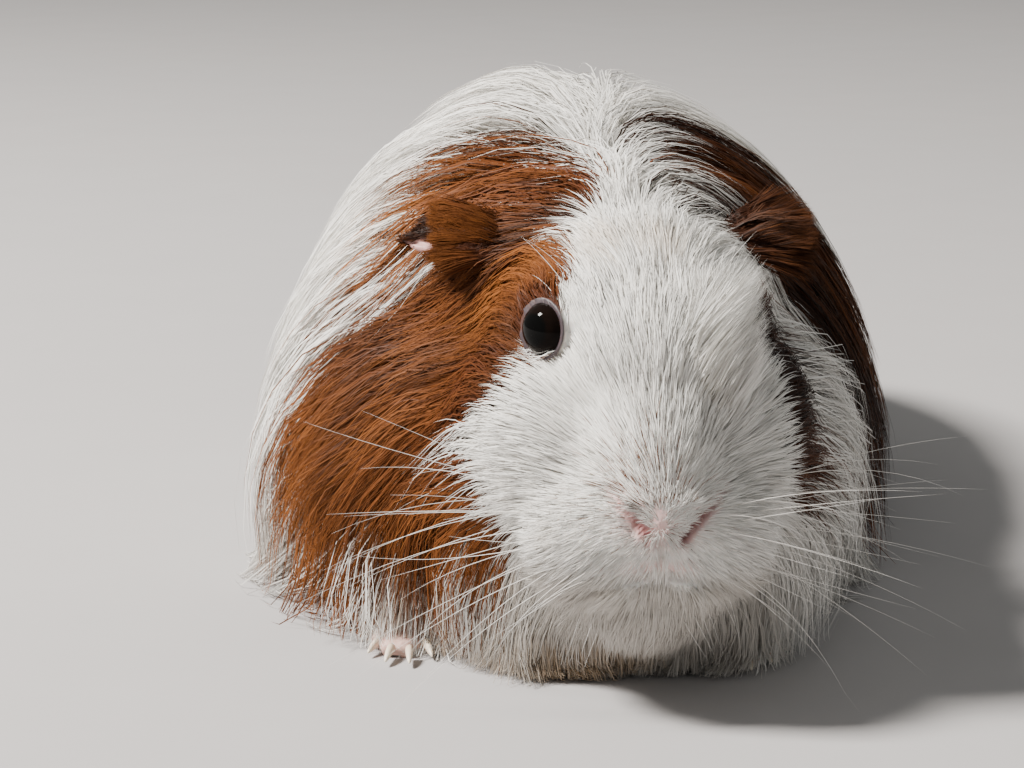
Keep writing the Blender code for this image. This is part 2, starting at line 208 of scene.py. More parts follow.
# The two kinds of coat. Each hair has so many steps and rises from the skin
# within so many millimetres; locks is their number for each hair; closing is the
# mean, the spread and the most of how far a hair follows its lock; and widths is
# how much the hairs vary in width.
FACE_COAT = {
    "slot": "head_coat",
    "pieces": 3,
    "steps": 5,
    "rise": 6,
    "locks": 0.16,
    "closing": (0.45, 0.15, 0.8),
}
BODY_COAT = {
    "slot": "trunk_coat",
    "pieces": 6,
    "steps": 7,
    "rise": 14,
    "locks": 0.05,
    "closing": (0.62, 0.22, 0.95),
    "widths": (0.7, 1.15),
}

# Length of the hair by distance from the nose.
LENGTH_AWAY = (0, 5, 14, 30, 45, 58, 68, 80, 100)
LENGTHS = (2.0, 2.7, 5, 8.5, 11.5, 14, 18, 32, 50)
LONGER = {"over_ear": 17, "cheek": 33, "fringe": 5, "chest": 25, "rump": 8}  # by so much
CROWN_HAIR = 48  # the least length on the crown
FACE_HAIR_MOST = 40
ROOT_DEPTH = 0.3  # under the skin
BEND_LENGTH = 5  # in which a hair turns the way the coat lies
BEND_LIMITS = (0.30, 0.75)  # of the turn it makes in one step
SAG_LENGTH = 22  # in which a hair's own weight comes to bear
CROWN_SEEN = 0.9  # how far a crown hair takes its colour from where it is seen
TONE_OF_LOCK, TONE_OF_HAIR = 0.55, 0.45

# Patches of the coat: centre, radii; and how dark each is. White patches lie
# over the brown ones.
BROWN_PATCHES = {
    "right_jowl": ((-44.5, 18, -20), (10.5, 25, 34), 0.10),
    "right_chop": ((-24, 8, -31), (10.5, 11.5, 11.5), 0.12),
    "right_brow": ((-26, 30, 22.5), (20, 31, 32), 0.22),
    "right_cheek": ((-23.5, 27.5, -15), (21, 23.5, 26.5), 0.28),
    "right_eye": ((-25, 8, 0), (16, 13.5, 20.5), 0.25),
    "right_nape": ((-27, 56, 18), (17, 40, 22), 0.10),
    "right_lock": ((-35, 49, -27.5), (9.5, 15, 20), 0.0),
    # The left side's patches are darker: partly the coat's own dark brown, partly painted shade
    # of the side turned from the light.
    "left_brow": ((37, 37, 14), (19.5, 31, 24), 0.8),
    "left_nape": ((38, 82, 16), (20.5, 50, 28), 0.65),
    "left_strip": ((23.3, -1.5, -17.5), (3.4, 7, 14), 0.80),
    "left_eye": ((21.5, 5.5, -1), (6, 9, 13), 0.85),
    "left_shoulder": ((52, 92, -20), (25, 43, 35), 0.75),
    "saddle": ((-14, 190, 8), (40, 26, 34), 0.3),
    "rump": ((-12, 218, -26), (50, 36, 42), 0.45),
}
WHITE_PATCHES = {
    "behind_right_ear": ((-42, 37, 9), (7.5, 16.5, 8.5)),
    "behind_left_ear": ((30, 36, -13), (14, 25, 16)),
    "muzzle": ((-0.5, -9, -36), (18, 12.5, 20.5)),
    "jowl_lock": ((-37, 26, -37), (4, 5, 7)),
    "under_right_jowl": ((-29, 12, -51), (26, 31, 17)),
}
# Where the brown hair is golden: centre, radii, share; partly its own gold, partly painted
# light.
GOLDEN_PATCHES = {
    "right_jowl": ((-44, 32, -28), (10, 20, 20), 0.55),
    "crown": ((-16, 64, 13), (10, 13, 9), 0.8),
}
FRINGE = 0.10  # how ragged a patch's border is

WHISKER_DEPTH = 1 * MM  # how far under the skin a whisker starts
WHISKER_RADIUS = 0.085
CLAW_RADIUS = 0.95  # at its root
CLAW_REACH = (-2.4, 4.9)  # from its middle, where it starts and how long it is
CLAW_DROP = (0.35, 0.95)  # how high it starts and how far it bends down
LOOK_MARGIN = 9 * MM  # past the solids' box and 3 % of its side

# ------------------------------------------------------------------- the stage
SENSOR_WIDTH = 36
CAMERA_AZIMUTH, CAMERA_RISE = math.radians(4), math.radians(13)
CAMERA_AIM = Vector((17.655, -138.791, 36)) * MM  # the tip of the nose
CAMERA_LEFT, CAMERA_UP, CAMERA_BACK = 0.023, 0.0232, 0.450  # from there
LIGHT_AIM = Vector((0, -70, 45)) * MM
ROOM_COLOUR = (0.96, 0.97, 0.94, 1)
# Lamps: place, which power, size, colour.
LAMPS = {
    "key": ((-1.0, -0.26, 1.25), "key", 0.32, (1.0, 0.96, 0.90)),
    "fill": ((1.2, -1.0, 0.6), "fill", 1.2, (0.92, 0.95, 1.0)),
    "back": ((0.5, 1.3, 1.0), "fill", 1.0, (1, 1, 1)),
}


# -------------------------------------------------------------- small functions
def moved(points, matrix):
    """Points turned, sized and shifted by a matrix."""
    m = np.array(matrix)
    return points @ m[:3, :3].T + m[:3, 3]


def head_frame(points):
    """Row-frame points, in metres, as head-frame points in millimetres."""
    return moved(points, HEAD_INVERSE) / MM


def to_row(points):
    """Head-frame points in millimetres as row-frame points in metres."""
    return moved(np.asarray(points, float) * MM, HEAD_PLACE)


def smooth(low, high, value):
    t = np.clip((value - low) / (high - low), 0, 1)
    return t * t * (3 - 2 * t)


def length_of(vectors):
    return np.linalg.norm(vectors, axis=-1)


def unit(vectors):
    return vectors / np.maximum(length_of(vectors)[..., None], 1e-12)


def bump(points, centre, radii):
    """1 at the centre, falling to 0 outside the radii."""
    distance = length_of((points - np.array(centre)) / np.array(radii))
    return np.exp(-2.2 * distance**2)


def ripple(points, scale, seed):
    """Smooth noise between about -1 and 1; scale is the size of its waves."""
    draws = np.random.default_rng(seed)
    total = np.zeros(len(points))
    for octave in range(3):
        for _ in range(5):
            wave = draws.normal(size=3) * 2**octave / scale * 2.2
            total += np.sin(points @ wave + draws.uniform(0, 2 * math.pi)) / 2**octave
    return total / 3.4


# ------------------------------------------------------------------ mesh helpers
def new_object(name, data):
    obj = bpy.data.objects.new(name, data)
    bpy.context.scene.collection.objects.link(obj)
    return obj


def object_from(name, bm):
    mesh = bpy.data.meshes.new(name)
    bm.to_mesh(mesh)
    bm.free()
    return new_object(name, mesh)


def melted(obj, grain, relax=0):
    """Melts the object's closed shapes into one, and smooths it."""
    melt = obj.modifiers.new("melt", "REMESH")
    melt.mode = "VOXEL"
    melt.voxel_size = grain
    if relax:
        soften = obj.modifiers.new("relax", "SMOOTH")
        soften.factor = 0.5
        soften.iterations = relax
    bpy.context.view_layer.update()
    graph = bpy.context.evaluated_depsgraph_get()
    mesh = bpy.data.meshes.new_from_object(obj.evaluated_get(graph))
    obj.modifiers.clear()
    obj.data = mesh
    return obj


def read(items, field, width=1, kind=np.float32):
    """One field of a mesh's items, a row for each."""
    values = np.empty(len(items) * width, kind)
    items.foreach_get(field, values)
    return values.reshape(-1, width) if width > 1 else values


def mesh_points(mesh):
    return read(mesh.vertices, "co", 3).astype(float)


def set_points(mesh, points):
    mesh.vertices.foreach_set("co", np.asarray(points, np.float32).ravel())
    mesh.update()


def set_attributes(mesh, **layers):
    for name, values in layers.items():
        layer = mesh.attributes.new(name, "FLOAT", "POINT")
        layer.data.foreach_set("value", np.asarray(values, np.float32).ravel())


def shade_smooth(mesh):
    mesh.polygons.foreach_set("use_smooth", np.ones(len(mesh.polygons), bool))


def ball_shape(steps):
    """Points and faces of a unit ball."""
    bm = bmesh.new()
    bmesh.ops.create_uvsphere(bm, u_segments=steps, v_segments=steps // 2, radius=1)
    points = np.array([vert.co[:] for vert in bm.verts])
    faces = [[vert.index for vert in face.verts] for face in bm.faces]
    bm.free()
    return points, faces


BALL = ball_shape(28)
BONE_SIDES = 20


class Heap:
    """Closed shapes heaped together in one mesh."""

    def __init__(self):
        self.points, self.faces, self.along, self.count = [], [], [], 0

    def add(self, points, faces):
        self.points.append(np.asarray(points, float))
        self.faces += [[corner + self.count for corner in face] for face in faces]
        self.count += len(points)

    def ball(self, centre, radii, tilt=0.0, place=None):
        matrix = Matrix.Translation(Vector(centre) * MM)
        matrix = matrix @ Matrix.Rotation(math.radians(tilt), 4, "X")
        matrix @= Matrix.Diagonal((*(Vector(radii) * MM), 1))
        self.add(moved(BALL[0], matrix if place is None else place @ matrix), BALL[1])

    def bone(self, start, end, start_radius, end_radius):
        """Two balls joined by a cone."""
        along = (end - start).normalized()
        side = along.orthogonal().normalized()
        other = along.cross(side)
        ring = np.linspace(0, 2 * math.pi, BONE_SIDES, endpoint=False)[:, None]
        round_it = np.cos(ring) * np.array(side) + np.sin(ring) * np.array(other)
        ends = ((start, start_radius), (end, end_radius))
        self.loft([(np.array(spot) + round_it * radius) * MM for spot, radius in ends])
        for spot, radius in ends:
            self.ball(spot, (radius,) * 3)

    def loft(self, rings):
        """A closed tube through rings of points."""
        size = len(rings[0])
        faces = []
        for near in range(0, (len(rings) - 1) * size, size):
            far = near + size
            for k in range(size):
                after = (k + 1) % size
                faces.append([near + k, near + after, far + after, far + k])
        last = (len(rings) - 1) * size
        faces += [list(range(size - 1, -1, -1)), list(range(last, last + size))]
        self.add(np.concatenate(rings), faces)
        self.along += list(np.repeat(np.arange(len(rings)) / (len(rings) - 1), size))

    def mesh(self, name):
        mesh = bpy.data.meshes.new(name)
        mesh.from_pydata(np.concatenate(self.points), [], self.faces)
        return mesh


def toe_line(wrist, side, angle, length):
    turn = math.radians(angle) * side
    forward = Vector((math.sin(turn), -math.cos(turn), 0))
    start, end = wrist + forward * 2, wrist + forward * length
    start.z = wrist.z - 0.8
    end.z = TOE_RADIUS - 0.35
    return start, end


# --------------------------------------------------------------------- the skin
def trunk_rings():
    rings = []
    table = np.array(TRUNK_SECTIONS, float)
    angle = np.linspace(0, 2 * math.pi, TRUNK_SIDES, endpoint=False)
    for y in np.linspace(TRUNK_SECTIONS[0][0], TRUNK_SECTIONS[-1][0], TRUNK_RINGS):
        half_width, top, bottom = (np.interp(y, table[:, 0], table[:, k]) for k in (1, 2, 3))
        z = (top + bottom) / 2 + (top - bottom) / 2 * np.sin(angle)
        x = half_width * (1 - 0.10 * np.sin(angle)) * np.cos(angle) - 0.03 * z
        rings.append(np.stack([x, np.full(len(x), y), z], -1) * MM)
    return rings


def flesh():
    """Head, trunk and legs melted into one smooth closed form."""
    heap = Heap()
    heap.loft(trunk_rings())
    for form in HEAD_MIDDLE.values():
        heap.ball(*form, HEAD_PLACE)
    for centre, *form in HEAD_SIDE.values():
        for _, side in SIDES:
            heap.ball((side * centre[0], *centre[1:]), *form, HEAD_PLACE)
    for _, bones, toes in LEGS:
        for _, side in SIDES:
            joints = [(Vector((side * b[0] + FOOT_SHIFT, b[1], b[2])), b[3]) for b in bones]
            for (start, thick), (end, thin) in zip(joints, joints[1:]):
                heap.bone(start, end, thick, thin)
            for angle, length in toes:
                start, end = toe_line(joints[-1][0], side, angle, length)
                heap.bone(start, end, TOE_RADIUS + 0.5, TOE_RADIUS)
    bm = bmesh.new()
    bm.from_mesh(heap.mesh("flesh"))
    bmesh.ops.recalc_face_normals(bm, faces=bm.faces)
    return melted(object_from("skin", bm), SKIN_GRAIN, relax=5)


def refine(obj, centre, reach):
    """Splits the skin's faces near a point of the head, for finer forms."""
    bm = bmesh.new()
    bm.from_mesh(obj.data)
    middle = Vector(to_row([centre])[0])
    edges = [
        edge
        for edge in bm.edges
        if ((edge.verts[0].co + edge.verts[1].co) / 2 - middle).length < reach * MM
    ]
    bmesh.ops.subdivide_edges(bm, edges=edges, cuts=1, use_grid_fill=True)
    bmesh.ops.triangulate(bm, faces=[face for face in bm.faces if len(face.verts) > 4])
    bm.to_mesh(obj.data)
    bm.free()


def eye_axis(side):
    """Where the eye's opening faces, in the head frame."""
    level = math.cos(EYE_TILT)
    ahead = (side * math.sin(EYE_AIM) * level, -math.cos(EYE_AIM) * level, math.sin(EYE_TILT))
    return np.array(ahead)


def eye_middle(side):
    return np.array((side * EYE_OUT, EYE_DROP.y / MM, EYE_DROP.z / MM))


def from_eye(head, side):
    """Distance from an eye's middle, and how near each point is to where it looks."""
    offset = head - eye_middle(side)
    away = length_of(offset)
    return away, (offset @ eye_axis(side)) / np.maximum(away, 1e-6)


def shape_lids(points):
    """Opens the skin round each eyeball and raises a lid's rim at the opening."""
    for _, side in SIDES:
        opening = LID_OPENING[side]
        offset = points - eye_middle(side)
        distance = length_of(offset)
        direction = offset / np.maximum(distance[:, None], 1e-9)
        angle = np.arccos(np.clip(direction @ eye_axis(side), -1, 1))
        near = smooth(EYE_MM + 9, EYE_MM + 5, distance)
        raised = np.exp(-(((angle - opening) / LID_RIM_ANGLE) ** 2))
        rim = EYE_MM + LID_EDGE + LID_RIM * raised
        hole = smooth(opening, opening - LID_RIM_ANGLE, angle)
        wanted = rim * (1 - hole) + (EYE_MM - 1.2) * hole
        share = smooth(opening + 0.7, opening + 0.1, angle) * near
        reach = distance + (wanted - distance) * share
        points = eye_middle(side) + direction * reach[:, None]
    return points


def nose_slit(points, side):
    """Distance from a nostril's slit, which curves up and out, and how far along it."""
    along = np.linspace(0, 1, 15)
    start, reach = NOSTRIL[side]
    line = np.stack([side * (start + reach * along), -29.6 + 6.2 * along**0.9], -1)
    gap = length_of(points[:, None, (0, 2)] - line[None])
    return gap.min(1), along[gap.argmin(1)]


def shape_nose(points):
    """Nostrils with their folds, the cleft of the lip and the line of the mouth."""
    x, y, z = points.T
    front = smooth(-10, -17, y)
    push = np.zeros((len(points), 3))
    near = np.flatnonzero((front > 0) & (np.abs(x) < 14) & (np.abs(z + 29) < 9))
    for _, side in SIDES:
        gap, along = nose_slit(points[near], side)
        if side > 0:
            width, depth = 1.1 - 0.7 * along, 3.0 - 2.3 * along
        else:
            width = 1.3 + 0.7 * np.sin(math.pi * along)
            depth = 1.1 + 1.9 * smooth(0, 0.3, along) - 1.9 * along
        push[near, 1] += np.exp(-((gap / width) ** 2)) * front[near] * depth
        wing = bump(points, (side * 4.6, -24.5, -24.2), (3.6, 4.0, 1.6))
        push += np.outer(wing, (side * 0.4, -0.9, 0.3))
    cleft = np.exp(-((x / 0.7) ** 2)) * front * smooth(-29.0, -30.5, z) * smooth(-37, -34.5, z)
    push += np.outer(cleft, (0, 1.3, 0))
    mouth = np.exp(-(((z + 36.8 + 0.02 * x * x) / 1.0) ** 2)) * smooth(-4, -12, y)
    push += np.outer(mouth, (0, 1.2, 0))
    return points + push


def ear_surface(s, t, length):
    """Points of an ear's flap from its root (s 0) to its edge, across it by t."""
    width = EAR_WIDTH * (0.5 + 0.5 * smooth(0.0, 0.5, s))
    width = width * np.sqrt(np.clip(1 - (np.maximum(s - 0.5, 0) / 0.51) ** 2, 0, 1))
    bend = EAR_DROOP * s - EAR_RISE
    reach = length * (np.sin(bend) + math.sin(EAR_RISE)) / EAR_DROOP
    drop = length * (math.cos(EAR_RISE) - np.cos(bend)) / EAR_DROOP
    out, down, across, cup = (unit(np.array(way)) for way in EAR_WAYS)
    fold = 3.6 * t * t * s + 0.7 * np.sin(8 * t + 4 * s) * s * s
    parts = ((out, reach), (down, drop), (across, width * t), (cup, -fold))
    return sum(way * amount[..., None] for way, amount in parts)


def add_ears(obj):
    """Joins both ear flaps to the skin, each with its thickness and rolled rim."""
    rows, columns = EAR_ROWS, EAR_COLUMNS
    s, t = np.meshgrid(np.linspace(0, 1, rows), np.linspace(-1, 1, columns), indexing="ij")
    thick = EAR_THICKNESS * (0.55 + 0.45 * (1 - s)) / 2
    thick = thick * np.sqrt(np.clip(1.02 - np.abs(t) ** 8, 0, 1))
    bm = bmesh.new()
    bm.from_mesh(obj.data)

    def face(corners, outward):
        bm.faces.new(corners if outward else reversed(corners))

    for _, side in SIDES:
        flap = ear_surface(s, t, EAR_LENGTH[side])
        steps_s, steps_t = np.gradient(flap, axis=0), np.gradient(flap, axis=1)
        normal = unit(np.cross(steps_s, steps_t) + 1e-9)
        sheets = []
        for way in (1, -1):
            sheet = flap + normal * (way * thick)[..., None] + np.array(EAR_ROOT)
            sheet = to_row(sheet * np.array((side, 1, 1)))
            sheets.append([[bm.verts.new(p) for p in row] for row in sheet])
        top, under = sheets
        for sheet in sheets:
            for near, far in zip(sheet, sheet[1:]):
                for c in range(columns - 1):
                    ring = (near[c], near[c + 1], far[c + 1], far[c])
                    face(ring, (sheet is top) == (side > 0))
        border = [(0, c) for c in range(columns)] + [(r, columns - 1) for r in range(1, rows)]
        border += [(rows - 1, c) for c in range(columns - 2, -1, -1)]
        border += [(r, 0) for r in range(rows - 2, 0, -1)]
        for (r, c), (rn, cn) in zip(border, border[1:] + border[:1]):
            face((top[r][c], under[r][c], under[rn][cn], top[rn][cn]), side > 0)
    bm.to_mesh(obj.data)
    bm.free()


def unwrap(obj):
    """Cuts the skin into charts of its own shape and lays them flat."""
    bpy.context.view_layer.objects.active = obj
    obj.select_set(True)
    bpy.ops.object.mode_set(mode="EDIT")
    bpy.ops.mesh.select_all(action="SELECT")
    bpy.ops.uv.smart_project(angle_limit=math.radians(66), island_margin=0.002)
    bpy.ops.object.mode_set(mode="OBJECT")
    obj.select_set(False)


# -------------------------------------------------------- distances to surfaces
class Depths:
    """Signed distance to a closed surface on a grid: negative inside."""

    step = 2.5 * MM

    def __init__(self, tree, low, high, shell=None):
        self.low = np.array(low)
        counts = np.ceil((np.array(high) - self.low) / self.step).astype(int) + 1
        axes = [self.low[i] + self.step * np.arange(counts[i]) for i in range(3)]
        grid = np.stack(np.meshgrid(*axes, indexing="ij"), -1).reshape(-1, 3)
        values = np.empty(len(grid))
        for index, point in enumerate(grid):
            spot = Vector(point)
            near, normal, _, distance = tree.find_nearest(spot)
            values[index] = distance if (spot - near).dot(normal) >= 0 else -distance
        for index in np.flatnonzero(near_ears(grid) & (values > 0)) if shell else ():
            near, _, _, beyond = shell.find_nearest(Vector(grid[index]))
            if (Vector(grid[index]) - near).dot(OVER_EAR) > 0:
                values[index] = min(values[index], beyond - EAR_CLEARANCE * MM)
        values = values.reshape(counts)
        self.channels = np.stack([values, *np.gradient(values, self.step)], -1)

    def sample(self, points):
        """Distance and outward direction at each point."""
        place = (points - self.low) / self.step
        place = np.clip(place, 0, np.array(self.channels.shape[:3]) - 1.001)
        cell = place.astype(int)
        part = place - cell
        result = 0
        for corner in range(8):
            pick = np.array([(corner >> axis) & 1 for axis in range(3)])
            weight = np.prod(np.where(pick, part, 1 - part), axis=-1)
            i, j, k = (cell + pick).T
            result = result + self.channels[i, j, k] * weight[:, None]
        return result[:, 0], unit(result[:, 1:])


def near_ears(points):
    """Which points are close enough to an ear for the hair to pass over it."""
    near = np.zeros(len(points), bool)
    for word, _ in SIDES:
        low, high = (np.array(corner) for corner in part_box(f"ear_{word}"))
        inside = (points > low - EAR_SURROUND) & (points < high + EAR_SURROUND)
        near |= np.all(inside, axis=-1)
    return near


def whole_coat_tree():
    """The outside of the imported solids' coat, as one closed surface."""
    bm = bmesh.new()
    for node in FLESH_NODES:
        for obj in () if node.startswith("ear") else CAD_MESHES[node]:
            part = obj.data.copy()
            part.transform(obj.matrix_world)
            bm.from_mesh(part)
    obj = melted(object_from("coat_outside", bm), COAT_GRAIN)
    tree = BVHTree.FromObject(obj, bpy.context.evaluated_depsgraph_get())
    bpy.data.objects.remove(obj)
    return tree


# --------------------------------------------------------------------- markings
def inside_patch(head, centre, radii):
    """1 at the patch's centre, 0 on its border, negative outside."""
    return 1 - length_of((head - np.array(centre)) / np.array(radii))


def markings(points):
    """Brown and dark shares of the coat at points of the row frame, in metres."""
    head = head_frame(points)
    ragged = FRINGE * ripple(head, 9, 11) + 0.5 * FRINGE * ripple(head, 3, 12)
    brown = np.full(len(points), -1.0)
    dark = np.zeros(len(points))
    for centre, radii, depth in BROWN_PATCHES.values():
        inside = inside_patch(head, centre, radii)
        dark = np.where(inside > brown, depth, dark)
        brown = np.maximum(brown, inside)
    for patch in WHITE_PATCHES.values():
        brown = np.minimum(brown, -inside_patch(head, *patch))
    share = smooth(-0.05, 0.06, brown + ragged)
    dark = np.clip(dark + 0.45 * ripple(head, 16, 13), 0, 1)
    return share, dark


def from_ear(head):
    """How far each point lies from the root of its ear, as a vector, side by side."""
    mirrored = head * np.where(head[:, :1] < 0, np.array((-1, 1, 1)), 1)
    return mirrored - np.array(EAR_ROOT)


def ear_reach(head):
    """How far out an ear each point is, on the scale of the longer right ear."""
    return from_ear(head)[:, 0] * np.where(head[:, 0] < 0, 1.0, 1.33)


def ear_dark(head):
    """How dark the hair on an ear is: red-brown at its root, dark at its tip."""
    local = from_ear(head)
    tip = smooth(12, 15, local[:, 0] + 2 * ripple(head, 7, 33)) * smooth(0, 2, local[:, 2])
    return np.where(head[:, 0] < 0, 0.42 + 0.7 * tip, 0.85)


def ear_lobe(head):
    """The bare part of an ear: the front of its outer edge."""
    low = smooth(2, 0, from_ear(head)[:, 2] + ripple(head, 6, 31))
    return smooth(15.5, 18, ear_reach(head) + 1.5 * ripple(head, 6, 32)) * low


def ear_rim(head):
    """Darker towards the upper edge of an ear."""
    outer = smooth(15, 18, ear_reach(head))
    return 0.85 * outer * smooth(0, 2, from_ear(head)[:, 2] + 1.5 * ripple(head, 6, 31))


def nose_marks(head):
    """Bare leather of the nose and lip, and the dark of the nostrils, partly their own darker
    lining and partly painted shade in the slits.
    """
    nose = bump(head, (0, -26.5, -26.5), (12, 8, 7.5))
    lip = bump(head, (0, -24, -35.6), (9, 7, 2.6))
    bare = np.clip(1.5 * np.maximum(nose, lip) - 0.12, 0, 1)
    deep = np.zeros(len(head))
    front = head[:, 1] < -12
    for _, side in SIDES:
        gap, along = nose_slit(head, side)
        gap = np.where(front, gap, 9.0)
        shown = smooth(0, 0.15, along) * (1 if side < 0 else 0.5)
        bare = np.maximum(bare, smooth(2.4, 1.2, gap) * shown)
        inner = length_of(head[:, (0, 2)] - (side * NOSTRIL[side][0], -29.9))
        inner = np.where(front, inner, 9.0)
        deep = np.maximum(deep, 0.8 * np.exp(-((inner / 1.9) ** 2)))
        slit = np.exp(-((gap / (1.5 - 0.7 * along)) ** 2)) * (0.95 - 0.6 * along)
        deep = np.maximum(deep, slit)
    return bare, deep


def lid_share(head):
    """1 on the bare rim round each eye."""
    lid = np.zeros(len(head))
    for _, side in SIDES:
        away, facing = from_eye(head, side)
        edge = math.cos(LID_OPENING[side] + 0.06)
        ring = smooth(edge - 0.04, edge + 0.04, facing)
        lid = np.maximum(lid, (away < EYE_MM + 2.0) * ring)
    return lid


# --------------------------------------------------------------- lie of the coat
def from_nose(head):
    return length_of(head - np.array(NOSE_TIP))


def lie(points, head, gravity, own, course):
    """Which way the coat lies at each point, before it is laid on the surface.

    Hairs with their own course (a share of 1) follow it instead.
    """
    away = unit(head - np.array(NOSE_TIP) - np.array((0, 2, 0.9)))
    top = smooth(-6, 10, head[:, 2]) * smooth(4, 26, head[:, 1])
    spread = np.sign(head[:, 0] - 3) * smooth(5, 17, np.abs(head[:, 0] - 3))
    away[:, 0] += 0.9 * top * spread
    away[:, 2] -= 0.35 * smooth(0, 25, head[:, 1])
    away = unit(away) * (1 - own[:, None]) + course * own[:, None]
    chest = chest_share(head)[:, None]
    away = away * (1 - chest) + np.array((0, -0.05, -1.0)) * chest
    away = unit(away) @ HEAD_AXES.T
    y = points[:, 1] / MM
    off = points[:, 0] / MM - (2 + 9 * smooth(60, 0, y))
    parted = 0.85 * np.exp(-((off / 10) ** 2)) * smooth(20, -30, y)
    side = np.tanh(off / 14) * (1 - parted)
    back = 0.35 + (0.25 * smooth(-60, 20, y) + 0.5 * smooth(60, 110, y))
    body = np.stack([0.9 * side, back, np.full(len(side), -0.35)], -1)
    share = np.maximum(smooth(52, 26, head[:, 1]), own)[:, None]
    flow = unit(away * share + unit(body) * (1 - share))
    flow[:, 2] -= gravity
    return unit(flow)


def fringe_share(head):
    """1 beside the bridge, where longer hair stands up over the left eye."""
    return np.clip(3.0 * bump(head, (10.5, -9, -6), (6.5, 6.5, 12)), 0, 1)


def crown_share(head):
    """1 on the crown and nape, whose long hair hides its own roots."""
    _, y, z = head.T
    return smooth(-2, 8, z) * smooth(18, 34, y) * smooth(140, 110, y)


def ear_base(head):
    """1 at the root of an ear, falling to 0 halfway to its tip."""
    mirrored = np.concatenate([np.abs(head[:, :1]), head[:, 1:]], 1)
    return smooth(23, 12, length_of(mirrored - np.array(EAR_ROOT)))


def near_nose(head):
    """True on the top of the nose, where short hairs let the skin show."""
    return bump(head, (0, -26, -26), (7.5, 7, 6)) > 0.35


def chest_share(head):
    """1 under the chin and on the chest, where the coat hangs to the floor."""
    _, y, z = head.T
    return smooth(-30, -44, z) * smooth(-8, 6, y) * smooth(60, 40, y)


def hair_length(points, head, normals):
    """Length of the hair in millimetres at each root."""
    x, y, z = head.T
    away = from_nose(head)
    length = np.interp(away, LENGTH_AWAY, LENGTHS)
    cheek = smooth(14, 24, np.abs(x)) * smooth(-6, 8, y)
    over_ear = bump(np.abs(head) * (1, 0, 0) + head * (0, 1, 1), (20, 22, 6), (13, 18, 14))
    length = length + LONGER["over_ear"] * over_ear
    length = length + LONGER["cheek"] * cheek * smooth(4, -16, z) * smooth(66, 50, y)
    length = length + LONGER["fringe"] * fringe_share(head)
    length = length * (1 + 1.1 * smooth(-34, -44, z)) + LONGER["chest"] * chest_share(head)
    top = smooth(-4, 10, z) * smooth(10, 30, y)
    length = np.maximum(length, CROWN_HAIR * top * smooth(60, 78, away))
    row = points / MM
    length = length + LONGER["rump"] * smooth(50, 100, row[:, 1])
    belly = smooth(-0.3, -0.8, normals[:, 2]) * (y > 45)
    length = length * (1 - 0.65 * belly)
    limit = 7 + 1.15 * row[:, 2] + 8 * chest_share(head)
    return np.where(row[:, 2] < 22, np.minimum(length, limit), length)


def foot_share(points):
    """1 on the toes and soles, 0 on the rest."""
    row = points / MM
    share = np.zeros(len(points))
    for _, bones, _ in LEGS:
        for _, side in SIDES:
            x, y = side * bones[-1][0] + FOOT_SHIFT, bones[-1][1] - 6
            near = (np.abs(row[:, 0] - x) < 10) & (np.abs(row[:, 1] - y) < 13)
            share = np.maximum(share, near * (row[:, 2] < 9))
    return share


def bare_share(head):
    """1 where no hair grows: the nostrils, the lids and the eyes."""
    bare = np.zeros(len(head))
    front = np.flatnonzero(head[:, 1] < -15)
    for _, side in SIDES:
        gap, along = nose_slit(head[front], side)
        slit = (gap < 1.05 - 0.85 * along) & (along > 0.04)
        bare[front] = np.maximum(bare[front], slit)
        away, facing = from_eye(head, side)
        lid = (away < EYE_MM + 2.2) & (facing > math.cos(LID_OPENING[side] + 0.03))
        bare = np.maximum(bare, lid)
    return bare


